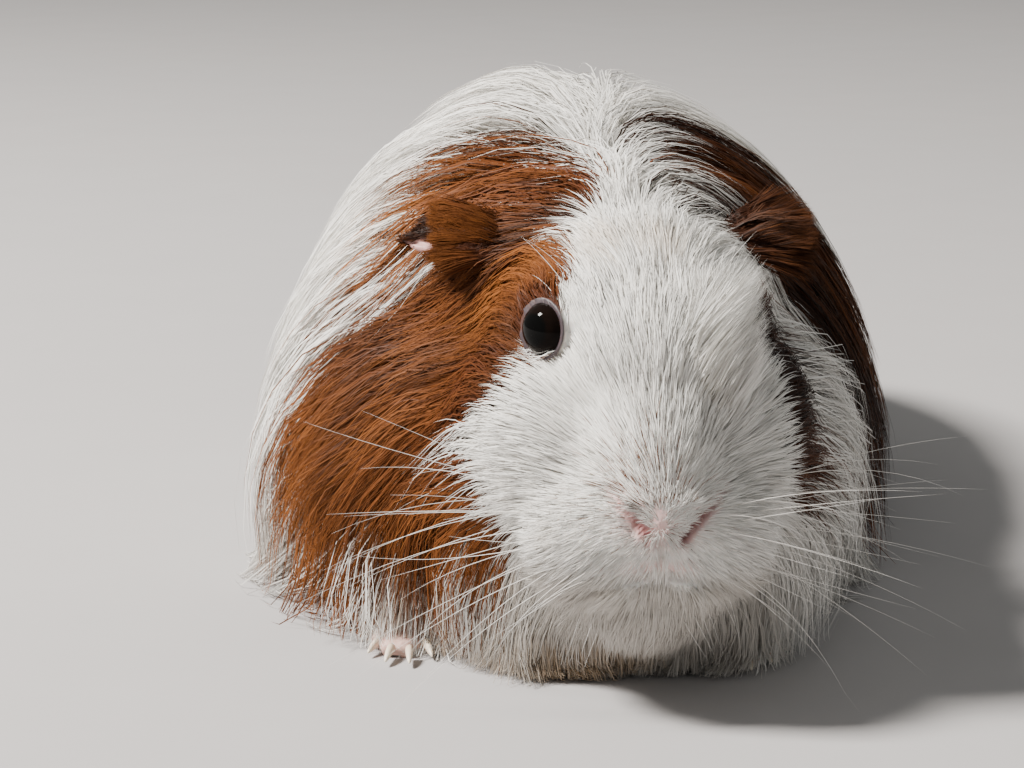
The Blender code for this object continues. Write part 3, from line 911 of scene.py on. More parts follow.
# ------------------------------------------------------------------------ groom
class Groom:
    """Roots sown on the skin and the paths their hairs take."""

    def __init__(self, skin, ear_start, skin_depths, coat_depths):
        self.skin_depths = skin_depths
        self.coat_depths = coat_depths
        mesh = skin.data
        mesh.calc_loop_triangles()
        triangles = mesh.loop_triangles
        self.corners = read(triangles, "vertices", 3, np.int32)
        self.loops = read(triangles, "loops", 3, np.int32)
        self.on_ear = read(triangles, "polygon_index", 1, np.int32) >= ear_start
        self.points = mesh_points(mesh)
        self.normals = read(mesh.vertex_normals, "vector", 3).astype(float)
        self.layout = read(mesh.uv_layers.active.data, "uv", 2)
        a, b, c = (self.points[self.corners[:, i]] for i in range(3))
        self.areas = length_of(np.cross(b - a, c - a)) / 2 / MM**2
        self.middles = (a + b + c) / 3

    def sow(self, weight, count, draws):
        """Scatters roots over the skin with the given weight for each triangle."""
        total = np.cumsum(self.areas * weight)
        pick = np.searchsorted(total, draws.random(count) * total[-1])
        pick = np.minimum(pick, len(total) - 1)
        u, v = draws.random(count), draws.random(count)
        flip = u + v > 1
        u, v = np.where(flip, 1 - u, u), np.where(flip, 1 - v, v)
        share = np.stack([1 - u - v, u, v], -1)[..., None]
        points = (self.points[self.corners[pick]] * share).sum(1)
        normals = unit((self.normals[self.corners[pick]] * share).sum(1))
        layout = (self.layout[self.loops[pick]] * share).sum(1)
        return points, normals, layout, self.on_ear[pick]

    def trace(self, roots, normals, on_ear, kind, length, layer, swerve, lift):
        """Paths of hairs from their roots: points and outward directions, by step."""
        steps, rise = kind["steps"], kind["rise"] * MM
        head = head_frame(roots)
        fringe = fringe_share(head)
        ears = on_ear[:, None]
        side = np.where(head[:, :1] > 0, 1.0, -1.0)
        along_ear = side * np.array((1.0, 0, 0)) + np.array((0, 0.35, -0.18))
        course = np.where(ears, unit(along_ear), FRINGE_COURSE)
        own = np.where(on_ear, 0.85, fringe)
        held = np.where(on_ear, 0, 1 - np.maximum(chest_share(head), own))
        loose = np.where(on_ear, 0, own)[:, None]
        position = roots - normals * ROOT_DEPTH * MM
        start = lie(position, head_frame(position), 0.15, own, course)
        start = unit(start - normals * (start * normals).sum(-1, keepdims=True))
        heading = unit(start * np.cos(lift)[:, None] + normals * np.sin(lift)[:, None])
        points, outwards = [position], [normals]
        stride = (length * MM / (steps - 1))[:, None]
        pull = np.clip(stride / (BEND_LENGTH * MM), *BEND_LIMITS)
        mix = (0.25 + 0.75 * layer)[:, None]
        arc = np.zeros(len(roots))
        for _ in range(steps - 1):
            depth, out_skin = self.skin_depths.sample(position)
            inside, out_coat = self.coat_depths.sample(position)
            outward = unit(out_skin * (1 - mix) + out_coat * mix)
            outward = np.where(ears, normals, outward)
            sag = (0.25 + arc / (SAG_LENGTH * MM) * 0.8) * (1 - 0.7 * own)
            wanted = lie(position, head_frame(position), sag, own, course)
            across = unit(np.cross(outward, wanted))
            wanted = unit(wanted + across * swerve[:, None])
            lean = (wanted * outward).sum(-1, keepdims=True)
            free = np.maximum(smooth(0.1, -0.5, outward[:, 2:]), loose)
            free = np.where(ears, 0, free)
            wanted = unit(wanted - outward * np.where(lean > 0, lean * (1 - free), lean))
            low = smooth(9 * MM, 1.5 * MM, position[:, 2])[:, None]
            level = wanted * np.array((0.3, 1, 0))
            wanted = unit(wanted * (1 - low) + unit(level + 1e-6) * low)
            heading = unit(heading * (1 - pull) + wanted * pull)
            arc = arc + stride[:, 0]
            room = np.maximum(depth - inside, 0.5 * MM)
            target = room * layer * (1 - np.exp(-arc / rise))
            shift = np.clip(target - depth, -0.5 * held * stride[:, 0], 0.45 * stride[:, 0])
            shift = shift * (1 - low[:, 0])
            move = heading * stride + outward * shift[:, None]
            grounded = 0.06 + 0.94 * smooth(1.2 * MM, 7 * MM, position[:, 2:])
            position = position + unit(move) * stride * grounded
            position[:, 2] = np.maximum(position[:, 2], HAIR_FLOOR)
            points.append(position)
            outwards.append(outward)
        return np.stack(points, 1), np.stack(outwards, 1)


def gather(paths, roots, share, spread, draws):
    """Pulls hairs together into locks that close towards their tips."""
    count = len(roots)
    leaders = np.sort(draws.choice(count, max(1, int(count * share)), replace=False))
    tree = KDTree(len(leaders))
    for index in leaders:
        tree.insert(roots[index], int(index))
    tree.balance()
    leader = np.array([tree.find(root)[1] for root in roots])
    along = np.linspace(0, 1, paths.shape[1])[None, :, None]
    offset = paths[leader] - paths[leader][:, :1] + paths[:, :1]
    follow = spread[:, None, None]
    closed = offset + (paths[leader] - offset) * (along**1.4)
    return paths * (1 - follow) + closed * follow, leader


def ribbon_mesh(name, paths, outwards, width, roll, layout, shares):
    """One mesh of thin tapered hairs, each a narrow strip that ends in a point."""
    count, steps, _ = paths.shape
    per = 2 * steps - 1  # points of one hair
    tangent = unit(np.gradient(paths, axis=1))
    across = unit(np.cross(tangent, outwards))
    lifted = unit(np.cross(across, tangent))
    angle = roll[:, None, None]
    across = across * np.cos(angle) + lifted * np.sin(angle)
    along = np.linspace(0, 1, steps)
    rung = np.repeat(along, 2)[:-1]
    taper = (0.65 + 0.35 * np.minimum(along / 0.25, 1)) * (1 - along**2.2)
    half = across * (width[:, None] * taper[None, :] * MM / 2)[..., None]
    verts = np.empty((count, per, 3))
    verts[:, 0:-1:2] = paths[:, :-1] - half[:, :-1]
    verts[:, 1:-1:2] = paths[:, :-1] + half[:, :-1]
    verts[:, -1] = paths[:, -1]
    first = (np.arange(count) * per)[:, None]
    quads = np.array([(2 * k, 2 * k + 1, 2 * k + 3, 2 * k + 2) for k in range(steps - 2)])
    pattern = np.concatenate([quads.ravel(), (per - 3, per - 2, per - 1)])
    loops = (first + pattern[None, :]).ravel()
    sizes = np.tile(np.array([4] * (steps - 2) + [3]), count)
    starts = np.concatenate([[0], np.cumsum(sizes)[:-1]])
    mesh = bpy.data.meshes.new(name)
    mesh.vertices.add(count * per)
    mesh.loops.add(len(loops))
    mesh.polygons.add(len(sizes))
    mesh.vertices.foreach_set("co", verts.astype(np.float32).ravel())
    mesh.loops.foreach_set("vertex_index", loops.astype(np.int32))
    mesh.polygons.foreach_set("loop_start", starts.astype(np.int32))
    mesh.update(calc_edges=True)
    shade_smooth(mesh)
    facing = np.cross(across, tangent)
    facing = unit(facing * np.sign((facing * outwards).sum(-1, keepdims=True) + 1e-9))
    facing = unit(outwards * (1 - SHEEN) + facing * SHEEN)
    shade = np.repeat(facing, 2, axis=1)[:, :-1].reshape(-1, 3)
    mesh.normals_split_custom_set_from_vertices(shade.astype(np.float32))
    place = np.empty((count, per, 2))
    place[..., 0] = layout[:, None, 0] + np.where(np.arange(per) % 2, 1, -1) * PATCH / 2
    place[:, -1, 0] = layout[:, 0]
    place[..., 1] = layout[:, None, 1] + (rung[None, :] - 0.5) * PATCH
    layer = mesh.uv_layers.new(name="OFBake")
    layer.data.foreach_set("uv", place.reshape(-1, 2)[loops].astype(np.float32).ravel())
    shares = {label: np.repeat(values, per) for label, values in shares.items()}
    set_attributes(mesh, **shares, along=np.tile(rung, count))
    return new_object(name, mesh)


def look_limits():
    """The room the looks may fill: the solids' box with a little more for hair."""
    low, high = (np.array(corner) for corner in CAD_BOX)
    more = 0.03 * (high - low) + LOOK_MARGIN
    floor = low[2]
    low, high = low - more, high + more
    low[2] = floor + 0.2 * MM
    return low, high


def grow(draws, name, kind, sown, length, layer, swerve, lift, width):
    """Makes meshes of the sown hairs, from the nose back, with their markings and the painted
    shade under the chin.
    """
    roots, normals, layout, on_ear = sown
    count = len(roots)
    way = (kind, length, layer, swerve, lift)
    paths, outwards = MADE["groom"].trace(roots, normals, on_ear, *way)
    mean, deviation, most = kind["closing"]
    spread = np.clip(draws.normal(mean, deviation, count), 0, most)
    paths, leader = gather(paths, roots, kind["locks"], spread, draws)
    if "widths" in kind:
        width = width * draws.uniform(*kind["widths"], count)
    head = head_frame(roots)
    seen = crown_share(head)[:, None] * CROWN_SEEN
    outer = paths[:, paths.shape[1] * 2 // 3]
    brown, dark = markings(roots * (1 - seen) + outer * seen)
    brown = (brown > draws.uniform(0.25, 0.75, count)).astype(float)
    nose = bump(head, (-4, -24, -22), (9, 9, 9))
    brown = np.where(nose * 0.4 > draws.random(count), 1.0, brown)
    brown = np.where(on_ear, 1.0, brown)
    dark = np.where(on_ear, ear_dark(head), dark)
    lock_tone = draws.uniform(0, 1, count)
    own_tone = draws.uniform(0, 1, count)
    tone = np.clip(TONE_OF_LOCK * lock_tone[leader] + TONE_OF_HAIR * own_tone, 0, 1)
    cream = np.clip(ripple(roots / MM, 26, 51) - 0.75, 0, 1) + 0.10 * draws.random(count) ** 3
    # Golden patches: partly the coat's own gold, partly painted light where the crown and jowl
    # are lit.
    for centre, radii, share in GOLDEN_PATCHES.values():
        cream += share * bump(head, centre, radii) * np.where(brown > 0.5, 1.0, 0.35)
    # Painted shade under the muzzle: the chin's hair is darker; it is also a little warmer, the
    # fur's own yellowish tint.
    chin = smooth(-35, -39, head[:, 2]) * smooth(10, 2, head[:, 1])
    tone = tone * (1 - 0.95 * chin)
    cream = np.clip(cream + 0.13 * chin, 0, 1)
    dark = np.clip(dark + draws.normal(0, 0.12, count), 0, 1)
    roll = np.radians(draws.normal(0, 30, count))
    paths = np.clip(paths, *look_limits())
    order = np.argsort(roots[:, 1], kind="stable")
    shares = {"brown": brown, "dark": dark, "cream": cream, "tone": tone}
    for index, part in enumerate(np.array_split(order, kind["pieces"]), 1):
        fields = (values[part] for values in (paths, outwards, width, roll, layout))
        own = {label: values[part] for label, values in shares.items()}
        dress(ribbon_mesh(f"{name}_{index}", *fields, own), MADE["hair"], kind["slot"])


def dress(obj, material, slot, *nodes):
    obj.data.materials.clear()
    obj.data.materials.append(material)
    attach(obj, "root")
    if nodes:
        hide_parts(*nodes)


def node_meshes(node):
    """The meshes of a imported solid."""
    top = frame["nodes"][node]
    return [obj for obj in (top, *top.children_recursive) if obj.type == "MESH"]


CAD_MESHES = {node: node_meshes(node) for node in FLESH_NODES}


# -------------------------------------------------------------------- materials
class Paint:
    """Short calls for wiring a tree of shader nodes."""

    def __init__(self, tree):
        self.nodes, self.links = tree.nodes, tree.links

    def feed(self, socket, value):
        """Links another node's output to a socket, or sets a constant on it."""
        if isinstance(value, bpy.types.NodeSocket):
            self.links.new(value, socket)
        elif socket.type == "RGBA":
            socket.default_value = (*value, 1)
        else:
            socket.default_value = value

    def add(self, kind, inputs, output=0, **fields):
        """A new node with its inputs fed; returns one of its outputs."""
        node = self.nodes.new(kind)
        for name, value in fields.items():
            setattr(node, name, value)
        for name, value in inputs.items():
            self.feed(node.inputs[name], value)
        return node.outputs[output]

    def mix(self, factor, low, high, mode="MIX"):
        inputs = {0: factor, 6: low, 7: high}
        return self.add("ShaderNodeMix", inputs, 2, data_type="RGBA", blend_type=mode)

    def math(self, kind, *values):
        return self.add("ShaderNodeMath", dict(enumerate(values)), operation=kind)

    def attribute(self, name):
        return self.add("ShaderNodeAttribute", {}, "Fac", attribute_name=name)

    def noise(self, scale, detail=3.0, stretch=(1, 1, 1)):
        place = self.add("ShaderNodeTexCoord", {}, "Object")
        place = self.add("ShaderNodeMapping", {"Vector": place, "Scale": stretch})
        inputs = {"Vector": place, "Scale": scale, "Detail": detail}
        return self.add("ShaderNodeTexNoise", inputs, "Fac")


class Surface(Paint):
    """A new material with one shader."""

    def __init__(self, name):
        self.material = bpy.data.materials.new(name)
        self.material.use_nodes = True
        super().__init__(self.material.node_tree)

    def coat(self, group, along):
        """Colour and roughness of the coat, from the piece's own shares of each."""
        node = self.nodes.new("ShaderNodeGroup")
        node.node_tree = group
        for label in ("Brown", "Dark", "Cream", "Tone"):
            self.feed(node.inputs[label], self.attribute(label.lower()))
        self.feed(node.inputs["Along"], along)
        return node.outputs["Color"], node.outputs["Roughness"]

    def finish(self, colour, rough, relief=None, levels=()):
        """Wires the shader; relief is a height, its strength and its depth."""
        levels = {"Base Color": colour, "Roughness": rough, **dict(levels)}
        if relief:
            inputs = dict(zip(("Height", "Strength", "Distance"), relief))
            levels["Normal"] = self.add("ShaderNodeBump", inputs, "Normal")
        for label, value in levels.items():
            self.feed(self.nodes["Principled BSDF"].inputs[label], value)
        return self.material


def coat_colour_group(colours):
    """Colour of the coat: white or brown hair, darker at the root as painted shade deep in the
    coat, golden tips.
    """
    group = bpy.data.node_groups.new("coat colour", "ShaderNodeTree")
    for label in ("Brown", "Dark", "Cream", "Tone", "Along"):
        socket = group.interface.new_socket(label, in_out="INPUT", socket_type="NodeSocketFloat")
        socket.default_value = 0.5 if label in ("Tone", "Along") else 0.0
    for label, kind in (("Color", "NodeSocketColor"), ("Roughness", "NodeSocketFloat")):
        group.interface.new_socket(label, in_out="OUTPUT", socket_type=kind)
    paint = Paint(group)
    brown, dark, cream, tone, along = paint.nodes.new("NodeGroupInput").outputs[:5]
    result = paint.nodes.new("NodeGroupOutput")
    # Both hair colours darken towards the root: painted shade deep in the coat.
    white = paint.mix(along, colours.white_root_shaded[:], colours.white[:])
    white = paint.mix(cream, white, colours.cream[:])
    tip = paint.math("POWER", along, 2.5)
    red = paint.mix(along, colours.brown_root_shaded[:], colours.brown[:])
    red = paint.mix(paint.math("MULTIPLY", tip, tone), red, colours.gold[:])
    red = paint.mix(cream, red, colours.gold[:])
    red = paint.mix(dark, red, colours.dark[:])
    hair = paint.mix(brown, white, red)
    # Tone sets each hair's brightness: at random, and lower under the chin as painted shade.
    level = paint.math("MULTIPLY_ADD", tone, 0.44, 0.62)
    shade = paint.add("ShaderNodeCombineColor", {0: level, 1: level, 2: level})
    paint.feed(result.inputs["Color"], paint.mix(1.0, hair, shade, "MULTIPLY"))
    paint.feed(result.inputs["Roughness"], paint.math("MULTIPLY_ADD", tone, 0.20, 0.46))
    return group


def coat_material(group):
    paint = Surface("hair")
    colour, rough = paint.coat(group, paint.attribute("along"))
    relief = (paint.noise(2500, 2.0), 0.2, 0.0001)
    return paint.finish(colour, rough, relief, {"Specular IOR Level": 0.10})


def skin_material(group, colours):
    paint = Surface("skin")
    pore, mottle = paint.noise(1400, 4.0), paint.noise(260, 3.0)
    # The skin takes the coat's colour near the root, painted shade included.
    base, _ = paint.coat(group, 0.25)
    ear = paint.mix(mottle, colours.ear[:], (0.46, 0.24, 0.22))
    layers = {
        "bare": paint.mix(mottle, colours.nose_deep[:], colours.nose[:]),
        "lid": paint.mix(mottle, colours.lid[:], (0.060, 0.043, 0.050)),
        "ear": paint.mix(paint.attribute("rim"), ear, colours.ear_rim[:]),
        "foot": paint.mix(mottle, (0.50, 0.30, 0.25), (0.66, 0.46, 0.40)),
        # The nostrils' dark: partly their own lining, partly painted shade in the slits.
        "deep": (0.26, 0.06, 0.06),
    }
    for name, colour in layers.items():
        base = paint.mix(paint.attribute(name), base, colour)
    rough = paint.math("MULTIPLY_ADD", pore, 0.3, 0.36)
    flesh_glow = {"Subsurface Weight": 0.15, "Subsurface Radius": (0.0025, 0.001, 0.0006)}
    return paint.finish(base, rough, (pore, 0.5, 0.0002), flesh_glow)


def eye_material():
    paint = Surface("eye")
    iris = paint.mix(paint.noise(900, 3.0), (0.003, 0.0018, 0.0015), (0.007, 0.004, 0.003))
    base = paint.mix(paint.attribute("pupil"), iris, (0.002, 0.002, 0.002))
    base = paint.mix(paint.attribute("white"), base, (0.10, 0.07, 0.06))
    wet = paint.math("MULTIPLY_ADD", paint.noise(500), 0.05, 0.02)
    return paint.finish(base, wet, None, {"IOR": 1.33, "Specular IOR Level": 0.11})


def claw_material():
    paint = Surface("horn")
    grain = paint.noise(900, 4.0, (1, 0.25, 1))
    horn = paint.mix(grain, (0.52, 0.36, 0.25), (0.72, 0.60, 0.47))
    horn = paint.mix(paint.attribute("along"), horn, (0.78, 0.70, 0.58))
    rough = paint.math("MULTIPLY_ADD", grain, 0.25, 0.25)
    horn_glow = {"Subsurface Weight": 0.2, "Subsurface Radius": (0.001, 0.0006, 0.0004)}
    return paint.finish(horn, rough, (grain, 0.4, 0.0001), horn_glow)


def whisker_material():
    paint = Surface("whisker")
    grain = paint.noise(1200)
    shade = paint.mix(paint.attribute("along"), (0.62, 0.56, 0.50), (0.86, 0.85, 0.82))
    shade = paint.mix(grain, shade, (0.74, 0.72, 0.68))
    return paint.finish(shade, paint.math("MULTIPLY_ADD", grain, 0.2, 0.25))


def floor_material(colour):
    paint = Surface("floor")
    weave = paint.noise(30, 6.0)
    shade = paint.mix(weave, colour, tuple(0.93 * part for part in colour))
    return paint.finish(shade, paint.math("MULTIPLY_ADD", weave, 0.15, 0.75))


# ----------------------------------------------------------- sizes and colours
def colour(name, description, value):
    return FloatVectorProperty(
        name=name, description=description, default=value, size=3, min=0, max=1, subtype="COLOR"
    )


def number(name, description, value, **limits):
    kind = IntProperty if isinstance(value, int) else FloatProperty
    return kind(name=name, description=description, default=value, **limits)


class CoatColours(bpy.types.PropertyGroup):
    """Colours of the coat and of the bare skin."""

    white: colour("White", "White hair, at its tip", (0.90, 0.885, 0.85))
    # Root colours are darker than the tips: painted shade deep in the coat.
    white_root_shaded: colour("White root", "White hair, at its root", (0.84, 0.82, 0.78))
    cream: colour("Cream", "Cream locks in the white", (0.66, 0.42, 0.19))
    brown: colour("Red-brown", "Red-brown hair", (0.180, 0.052, 0.0120))
    brown_root_shaded: colour("Brown root", "Brown hair, at its root", (0.065, 0.017, 0.0060))
    gold: colour("Gold", "Golden tips of the brown hair", (0.34, 0.115, 0.024))
    dark: colour("Dark brown", "Darkest hair in the patches", (0.024, 0.0085, 0.0040))
    nose: colour("Nose", "Leather of the nose", (0.74, 0.54, 0.51))
    nose_deep: colour("Nose, deep", "Mottling of the nose", (0.62, 0.40, 0.38))
    lid: colour("Eyelid", "Bare rim round the eye", (0.035, 0.022, 0.025))
    ear: colour("Ear", "Inside of the ear", (0.56, 0.31, 0.28))
    # Darker towards the ear's upper edge.
    ear_rim: colour("Ear rim", "Pigment at the ear's edge", (0.045, 0.028, 0.024))


class CoatSizes(bpy.types.PropertyGroup):
    """How much coat there is and how it stands."""

    face_hairs: number("Face hairs", "Short hairs on the face", 84000, min=100)
    body_hairs: number("Body hairs", "Long hairs of the mane and body", 80000, min=100)
    face_width: number("Face hair width", "Width of a face hair, mm", 0.175, min=0.05)
    body_width: number("Body hair width", "Width of a body hair, mm", 0.275, min=0.05)
    seed: number("Seed", "Order of the random draws", 7, min=0)


class StageSizes(bpy.types.PropertyGroup):
    """Floor, light and camera."""

    floor: colour("Floor", "Plain pale floor", (0.40, 0.385, 0.385))
    floor_radius: number("Floor radius", "Half the floor's width", 4.0, unit="LENGTH")
    key: number("Key", "Main light's power", 96.0, subtype="POWER")
    fill: number("Fill", "Fill's power", 1.2, subtype="POWER")
    sky: number("Sky", "Strength of the room's light", 0.33)
    lens: number("Lens", "Focal length, mm", 98.0)


def settings():
    scene = bpy.context.scene
    return scene.pig_colours, scene.pig_coat, scene.pig_stage


MADE = {}  # what the operators hand on: skin, groom, the coat's material


# -------------------------------------------------------------------- operators
class PIG_OT_skin(bpy.types.Operator):
    """Makes the one skin that stands for every solid of flesh"""

    bl_idname = "pig.skin"
    bl_label = "Skin"

    def execute(self, context):
        colours = settings()[0]
        skin = flesh()
        fine = [(eye_middle(side), reach) for _, side in SIDES for reach in FINE_ROUND_EYE]
        for centre, reach in (*fine, *FINE_ROUND_NOSE):
            refine(skin, centre, reach)
        mesh = skin.data
        set_points(mesh, to_row(shape_nose(shape_lids(head_frame(mesh_points(mesh))))))
        graph = bpy.context.evaluated_depsgraph_get()
        graph.update()
        tree = BVHTree.FromObject(skin, graph)
        ear_start = len(mesh.polygons)
        first_ear = len(mesh.vertices)
        add_ears(skin)
        graph.update()
        flaps = [tuple(face.vertices) for face in mesh.polygons[ear_start:]]
        ears = BVHTree.FromPolygons([vert.co for vert in mesh.vertices], flaps)
        unwrap(skin)
        shade_smooth(mesh)
        points = mesh_points(mesh)
        head = head_frame(points)
        ear = np.arange(len(points)) >= first_ear
        brown, dark = markings(points)
        bare, deep = nose_marks(head)
        set_attributes(
            mesh,
            brown=np.where(ear, 1.0, brown),
            dark=np.where(ear, ear_dark(head), dark),
            cream=np.zeros(len(points)),
            tone=0.45 + 0.15 * ripple(points / MM, 4, 21),
            ear=ear * ear_lobe(head),
            rim=ear * ear_rim(head),
            bare=bare,
            deep=deep,
            lid=lid_share(head),
            foot=foot_share(points),
        )
        group = coat_colour_group(colours)
        low, high = (np.array(corner) for corner in CAD_BOX)
        low, high = low - GRID_MARGIN, high + GRID_MARGIN
        over_ears = Depths(tree, low, high, ears)
        groom = Groom(skin, ear_start, over_ears, Depths(whole_coat_tree(), low, high))
        MADE.update(skin=skin, groom=groom, hair=coat_material(group))
        dress(skin, skin_material(group, colours), "paw_skin", *FLESH_NODES)
        return {"FINISHED"}


class PIG_OT_eyes(bpy.types.Operator):
    """Makes both wet dark eyes"""

    bl_idname = "pig.eyes"
    bl_label = "Eyes"

    def execute(self, context):
        material = eye_material()
        for word, side in SIDES:
            bm = bmesh.new()
            bmesh.ops.create_uvsphere(bm, u_segments=64, v_segments=40, radius=1)
            eye = object_from(f"eyeball_{word}", bm)
            points = mesh_points(eye.data)
            facing = points @ (eye_axis(side) @ HEAD_AXES.T)
            cornea = 1 + 0.05 * smooth(0.55, 0.95, facing)
            radius = (EYE_RADIUS - 0.1 * MM) * cornea
            set_points(eye.data, points * radius[:, None] + np.array(EYE_CENTRES[side]))
            rings = {"pupil": smooth(0.84, 0.90, facing), "white": smooth(0.42, 0.30, facing)}
            set_attributes(eye.data, **rings)
            shade_smooth(eye.data)
            dress(eye, material, "eye", f"eye_{word}")
        return {"FINISHED"}


class PIG_OT_claws(bpy.types.Operator):
    """Makes the fourteen curved claws"""

    bl_idname = "pig.claws"
    bl_label = "Claws"

    def execute(self, context):
        heap, nodes = Heap(), []
        for place, bones, toes in LEGS:
            for word, side in SIDES:
                wrist = Vector((side * bones[-1][0] + FOOT_SHIFT, *bones[-1][1:3]))
                for toe, (angle, length) in enumerate(toes, 1):
                    nodes.append(f"claw_{place}_{word}_{toe}")
                    start, end = toe_line(wrist, side, angle, length)
                    claw_tube(heap, node_middle(nodes[-1]), (end - start).normalized())
        dress(tube_object("claws", heap), claw_material(), "claw", *nodes)
        return {"FINISHED"}


def tube_object(name, heap):
    """A piece made of tubes that knows how far along its tube each point is."""
    obj = new_object(name, heap.mesh(name))
    set_attributes(obj.data, along=heap.along)
    shade_smooth(obj.data)
    return obj


def claw_tube(heap, middle, forward):
    """One curved tapering claw about its middle."""
    forward = Vector((forward.x, forward.y, 0)).normalized()
    across = forward.cross(Vector((0, 0, 1)))
    rings, sides = 12, 12
    loops = []
    for index in range(rings):
        t = index / (rings - 1)
        centre = middle + forward * (CLAW_REACH[0] + CLAW_REACH[1] * t) * MM
        centre.z += (CLAW_DROP[0] - CLAW_DROP[1] * t * t) * MM
        radius = CLAW_RADIUS * math.sqrt(max(1 - t**1.6, 0.01))
        loop = []
        for step in range(sides):
            angle = 2 * math.pi * step / sides
            spot = centre + across * math.cos(angle) * 0.8 * radius * MM
            spot.z = max(spot.z + math.sin(angle) * radius * MM, 0.02 * MM)
            loop.append(spot)
        loops.append(np.array(loop))
    heap.loft(loops)


class PIG_OT_face_coat(bpy.types.Operator):
    """Grows the short fur of the face, feet and ears"""

    bl_idname = "pig.face_coat"
    bl_label = "Face coat"

    def execute(self, context):
        sizes = settings()[1]
        groom = MADE["groom"]
        draws = np.random.default_rng(sizes.seed)
        head = head_frame(groom.middles)
        weight = np.interp(from_nose(head), (0, 8, 25, 45, 62, 78), (6, 5, 4, 3, 1.5, 0))
        weight = np.where(groom.on_ear, 9.0 * (1 - ear_lobe(head)), weight)
        weight = weight * np.where(near_nose(head), 3.2, 1)
        weight = weight * (1 + 1.2 * chest_share(head) + 2.2 * fringe_share(head))
        for _, side in SIDES:
            round_eye = from_eye(head, side)[0] < EYE_MM + 3
            weight = np.where(round_eye, (1.7 if side < 0 else 2.2) * weight, weight)
        weight = np.maximum(weight, 1.2 * foot_share(groom.middles)) * (1 - bare_share(head))
        count = int(sizes.face_hairs * (1))
        sown = groom.sow(weight, count, draws)
        roots, normals, _, on_ear = sown
        head = head_frame(roots)
        length = hair_length(roots, head, normals) * draws.uniform(0.75, 1.15, count)
        length = np.minimum(length, FACE_HAIR_MOST)
        tuft = 5.5 + 6 * smooth(0.05, 0.7, ear_base(head) + draws.normal(0, 0.12, count))
        tuft = tuft * (1 - 0.65 * smooth(7, 13, from_ear(head)[:, 0]))
        length = np.where(on_ear, tuft, length)
        length = np.where(foot_share(roots) > 0.5, draws.uniform(1.5, 3.0, count), length)
        layer = draws.uniform(0.25, 1.0, count)
        stray = np.where(near_nose(head), 0.45, 0.14)
        swerve = draws.normal(0, 1, count) * stray + 0.22 * ripple(roots / MM, 10, 41)
        lift = draws.uniform(16, 46, count) + 14 * fringe_share(head)
        lift = np.radians(np.where(on_ear, 0.35 * lift, lift))
        finer = np.interp(from_nose(head), (4, 10, 22, 60), (0.5, 0.62, 0.9, 1.25))
        width = sizes.face_width * finer
        for _, side in SIDES:
            by_eye = from_eye(head, side)[0] < EYE_MM + 3.5
            width = np.where(by_eye, 0.6 * width, width)
        grow(draws, "face", FACE_COAT, sown, length, layer, swerve, lift, width)
        return {"FINISHED"}


class PIG_OT_long_coat(bpy.types.Operator):
    """Grows the long hair of the mane, sides, back and rump"""

    bl_idname = "pig.long_coat"
    bl_label = "Long coat"

    def execute(self, context):
        sizes = settings()[1]
        groom = MADE["groom"]
        draws = np.random.default_rng(sizes.seed + 1)
        head = head_frame(groom.middles)
        weight = np.interp(from_nose(head), (40, 58, 72), (0, 1.3, 1.0))
        weight = weight * np.where(groom.middles[:, 2] < 9 * MM, 0.15, 1)
        weight = np.where(groom.on_ear, 0.0, weight) * (1 - foot_share(groom.middles))
        weight = weight * (1 - bare_share(head))
        count = int(sizes.body_hairs * (1))
        sown = groom.sow(weight, count, draws)
        roots, normals = sown[:2]
        length = hair_length(roots, head_frame(roots), normals) * draws.uniform(0.7, 1.12, count)
        layer = draws.uniform(0.15, 1.0, count)
        swerve = draws.normal(0, 0.05, count) + 0.14 * ripple(roots / MM, 30, 42)
        lift = np.radians(draws.uniform(12, 35, count))
        grow(draws, "coat", BODY_COAT, sown, length, layer, swerve, lift, sizes.body_width)
        return {"FINISHED"}


class PIG_OT_whiskers(bpy.types.Operator):
    """Makes the whiskers of the muzzle, cheeks and brows"""

    bl_idname = "pig.whiskers"
    bl_label = "Whiskers"

    def execute(self, context):
        draws = np.random.default_rng(settings()[1].seed + 2)
        skin = BVHTree.FromObject(MADE["skin"], bpy.context.evaluated_depsgraph_get())
        heap = Heap()
        for _, side in SIDES:
            for start, aim, length in whisker_plan(side, draws):
                near, normal, _, _ = skin.find_nearest(Vector(to_row([start])[0]))
                aim = Vector(np.array(aim) @ HEAD_AXES.T).normalized()
                whisker_tube(heap, near - normal * WHISKER_DEPTH, aim, length, draws)
        dress(tube_object("whiskers", heap), whisker_material(), "head_coat")
        return {"FINISHED"}


def whisker_plan(side, draws):
    """Roots, directions and lengths of one side's whiskers, in the head frame."""
    plan = []
    for row in range(5):
        for column in range(5):
            start = (side * (9 + 2.0 * column), -22 + 3.0 * column, -27 - 2.6 * row)
            aim = (side * 1.0, -0.25 + 0.16 * column, 0.30 - 0.22 * row)
            aim = np.array(aim) + draws.normal(0, 0.13, 3)
            plan.append((start, aim, draws.uniform(14, 24) + 5.5 * column))
    for index in range(4):
        start = (side * (22 + index), -10 + 2 * index, -26 - 4 * index)
        aim = (side * 1.0, 0.05 * index, 0.24 - 0.17 * index)
        plan.append((start, aim, 40 - 3 * index))
    for index in range(4):
        start = (side * (9 + 1.5 * index), 0 - index, 8 - 1.5 * index)
        plan.append((start, (side * 0.5, -0.3 + 0.3 * index, 0.8), draws.uniform(11, 17)))
    for index in range(3):
        start = (side * (22 + 2 * index), 2 + 3 * index, -20 - 4 * index)
        plan.append((start, (side * 1.0, 0.1, -0.2), draws.uniform(16, 24)))
    for index in range(6):
        start = (side * (3 + 2.0 * index), -14, -43)
        plan.append((start, (side * 0.35, -0.5, -0.7), draws.uniform(7, 13)))
    return plan


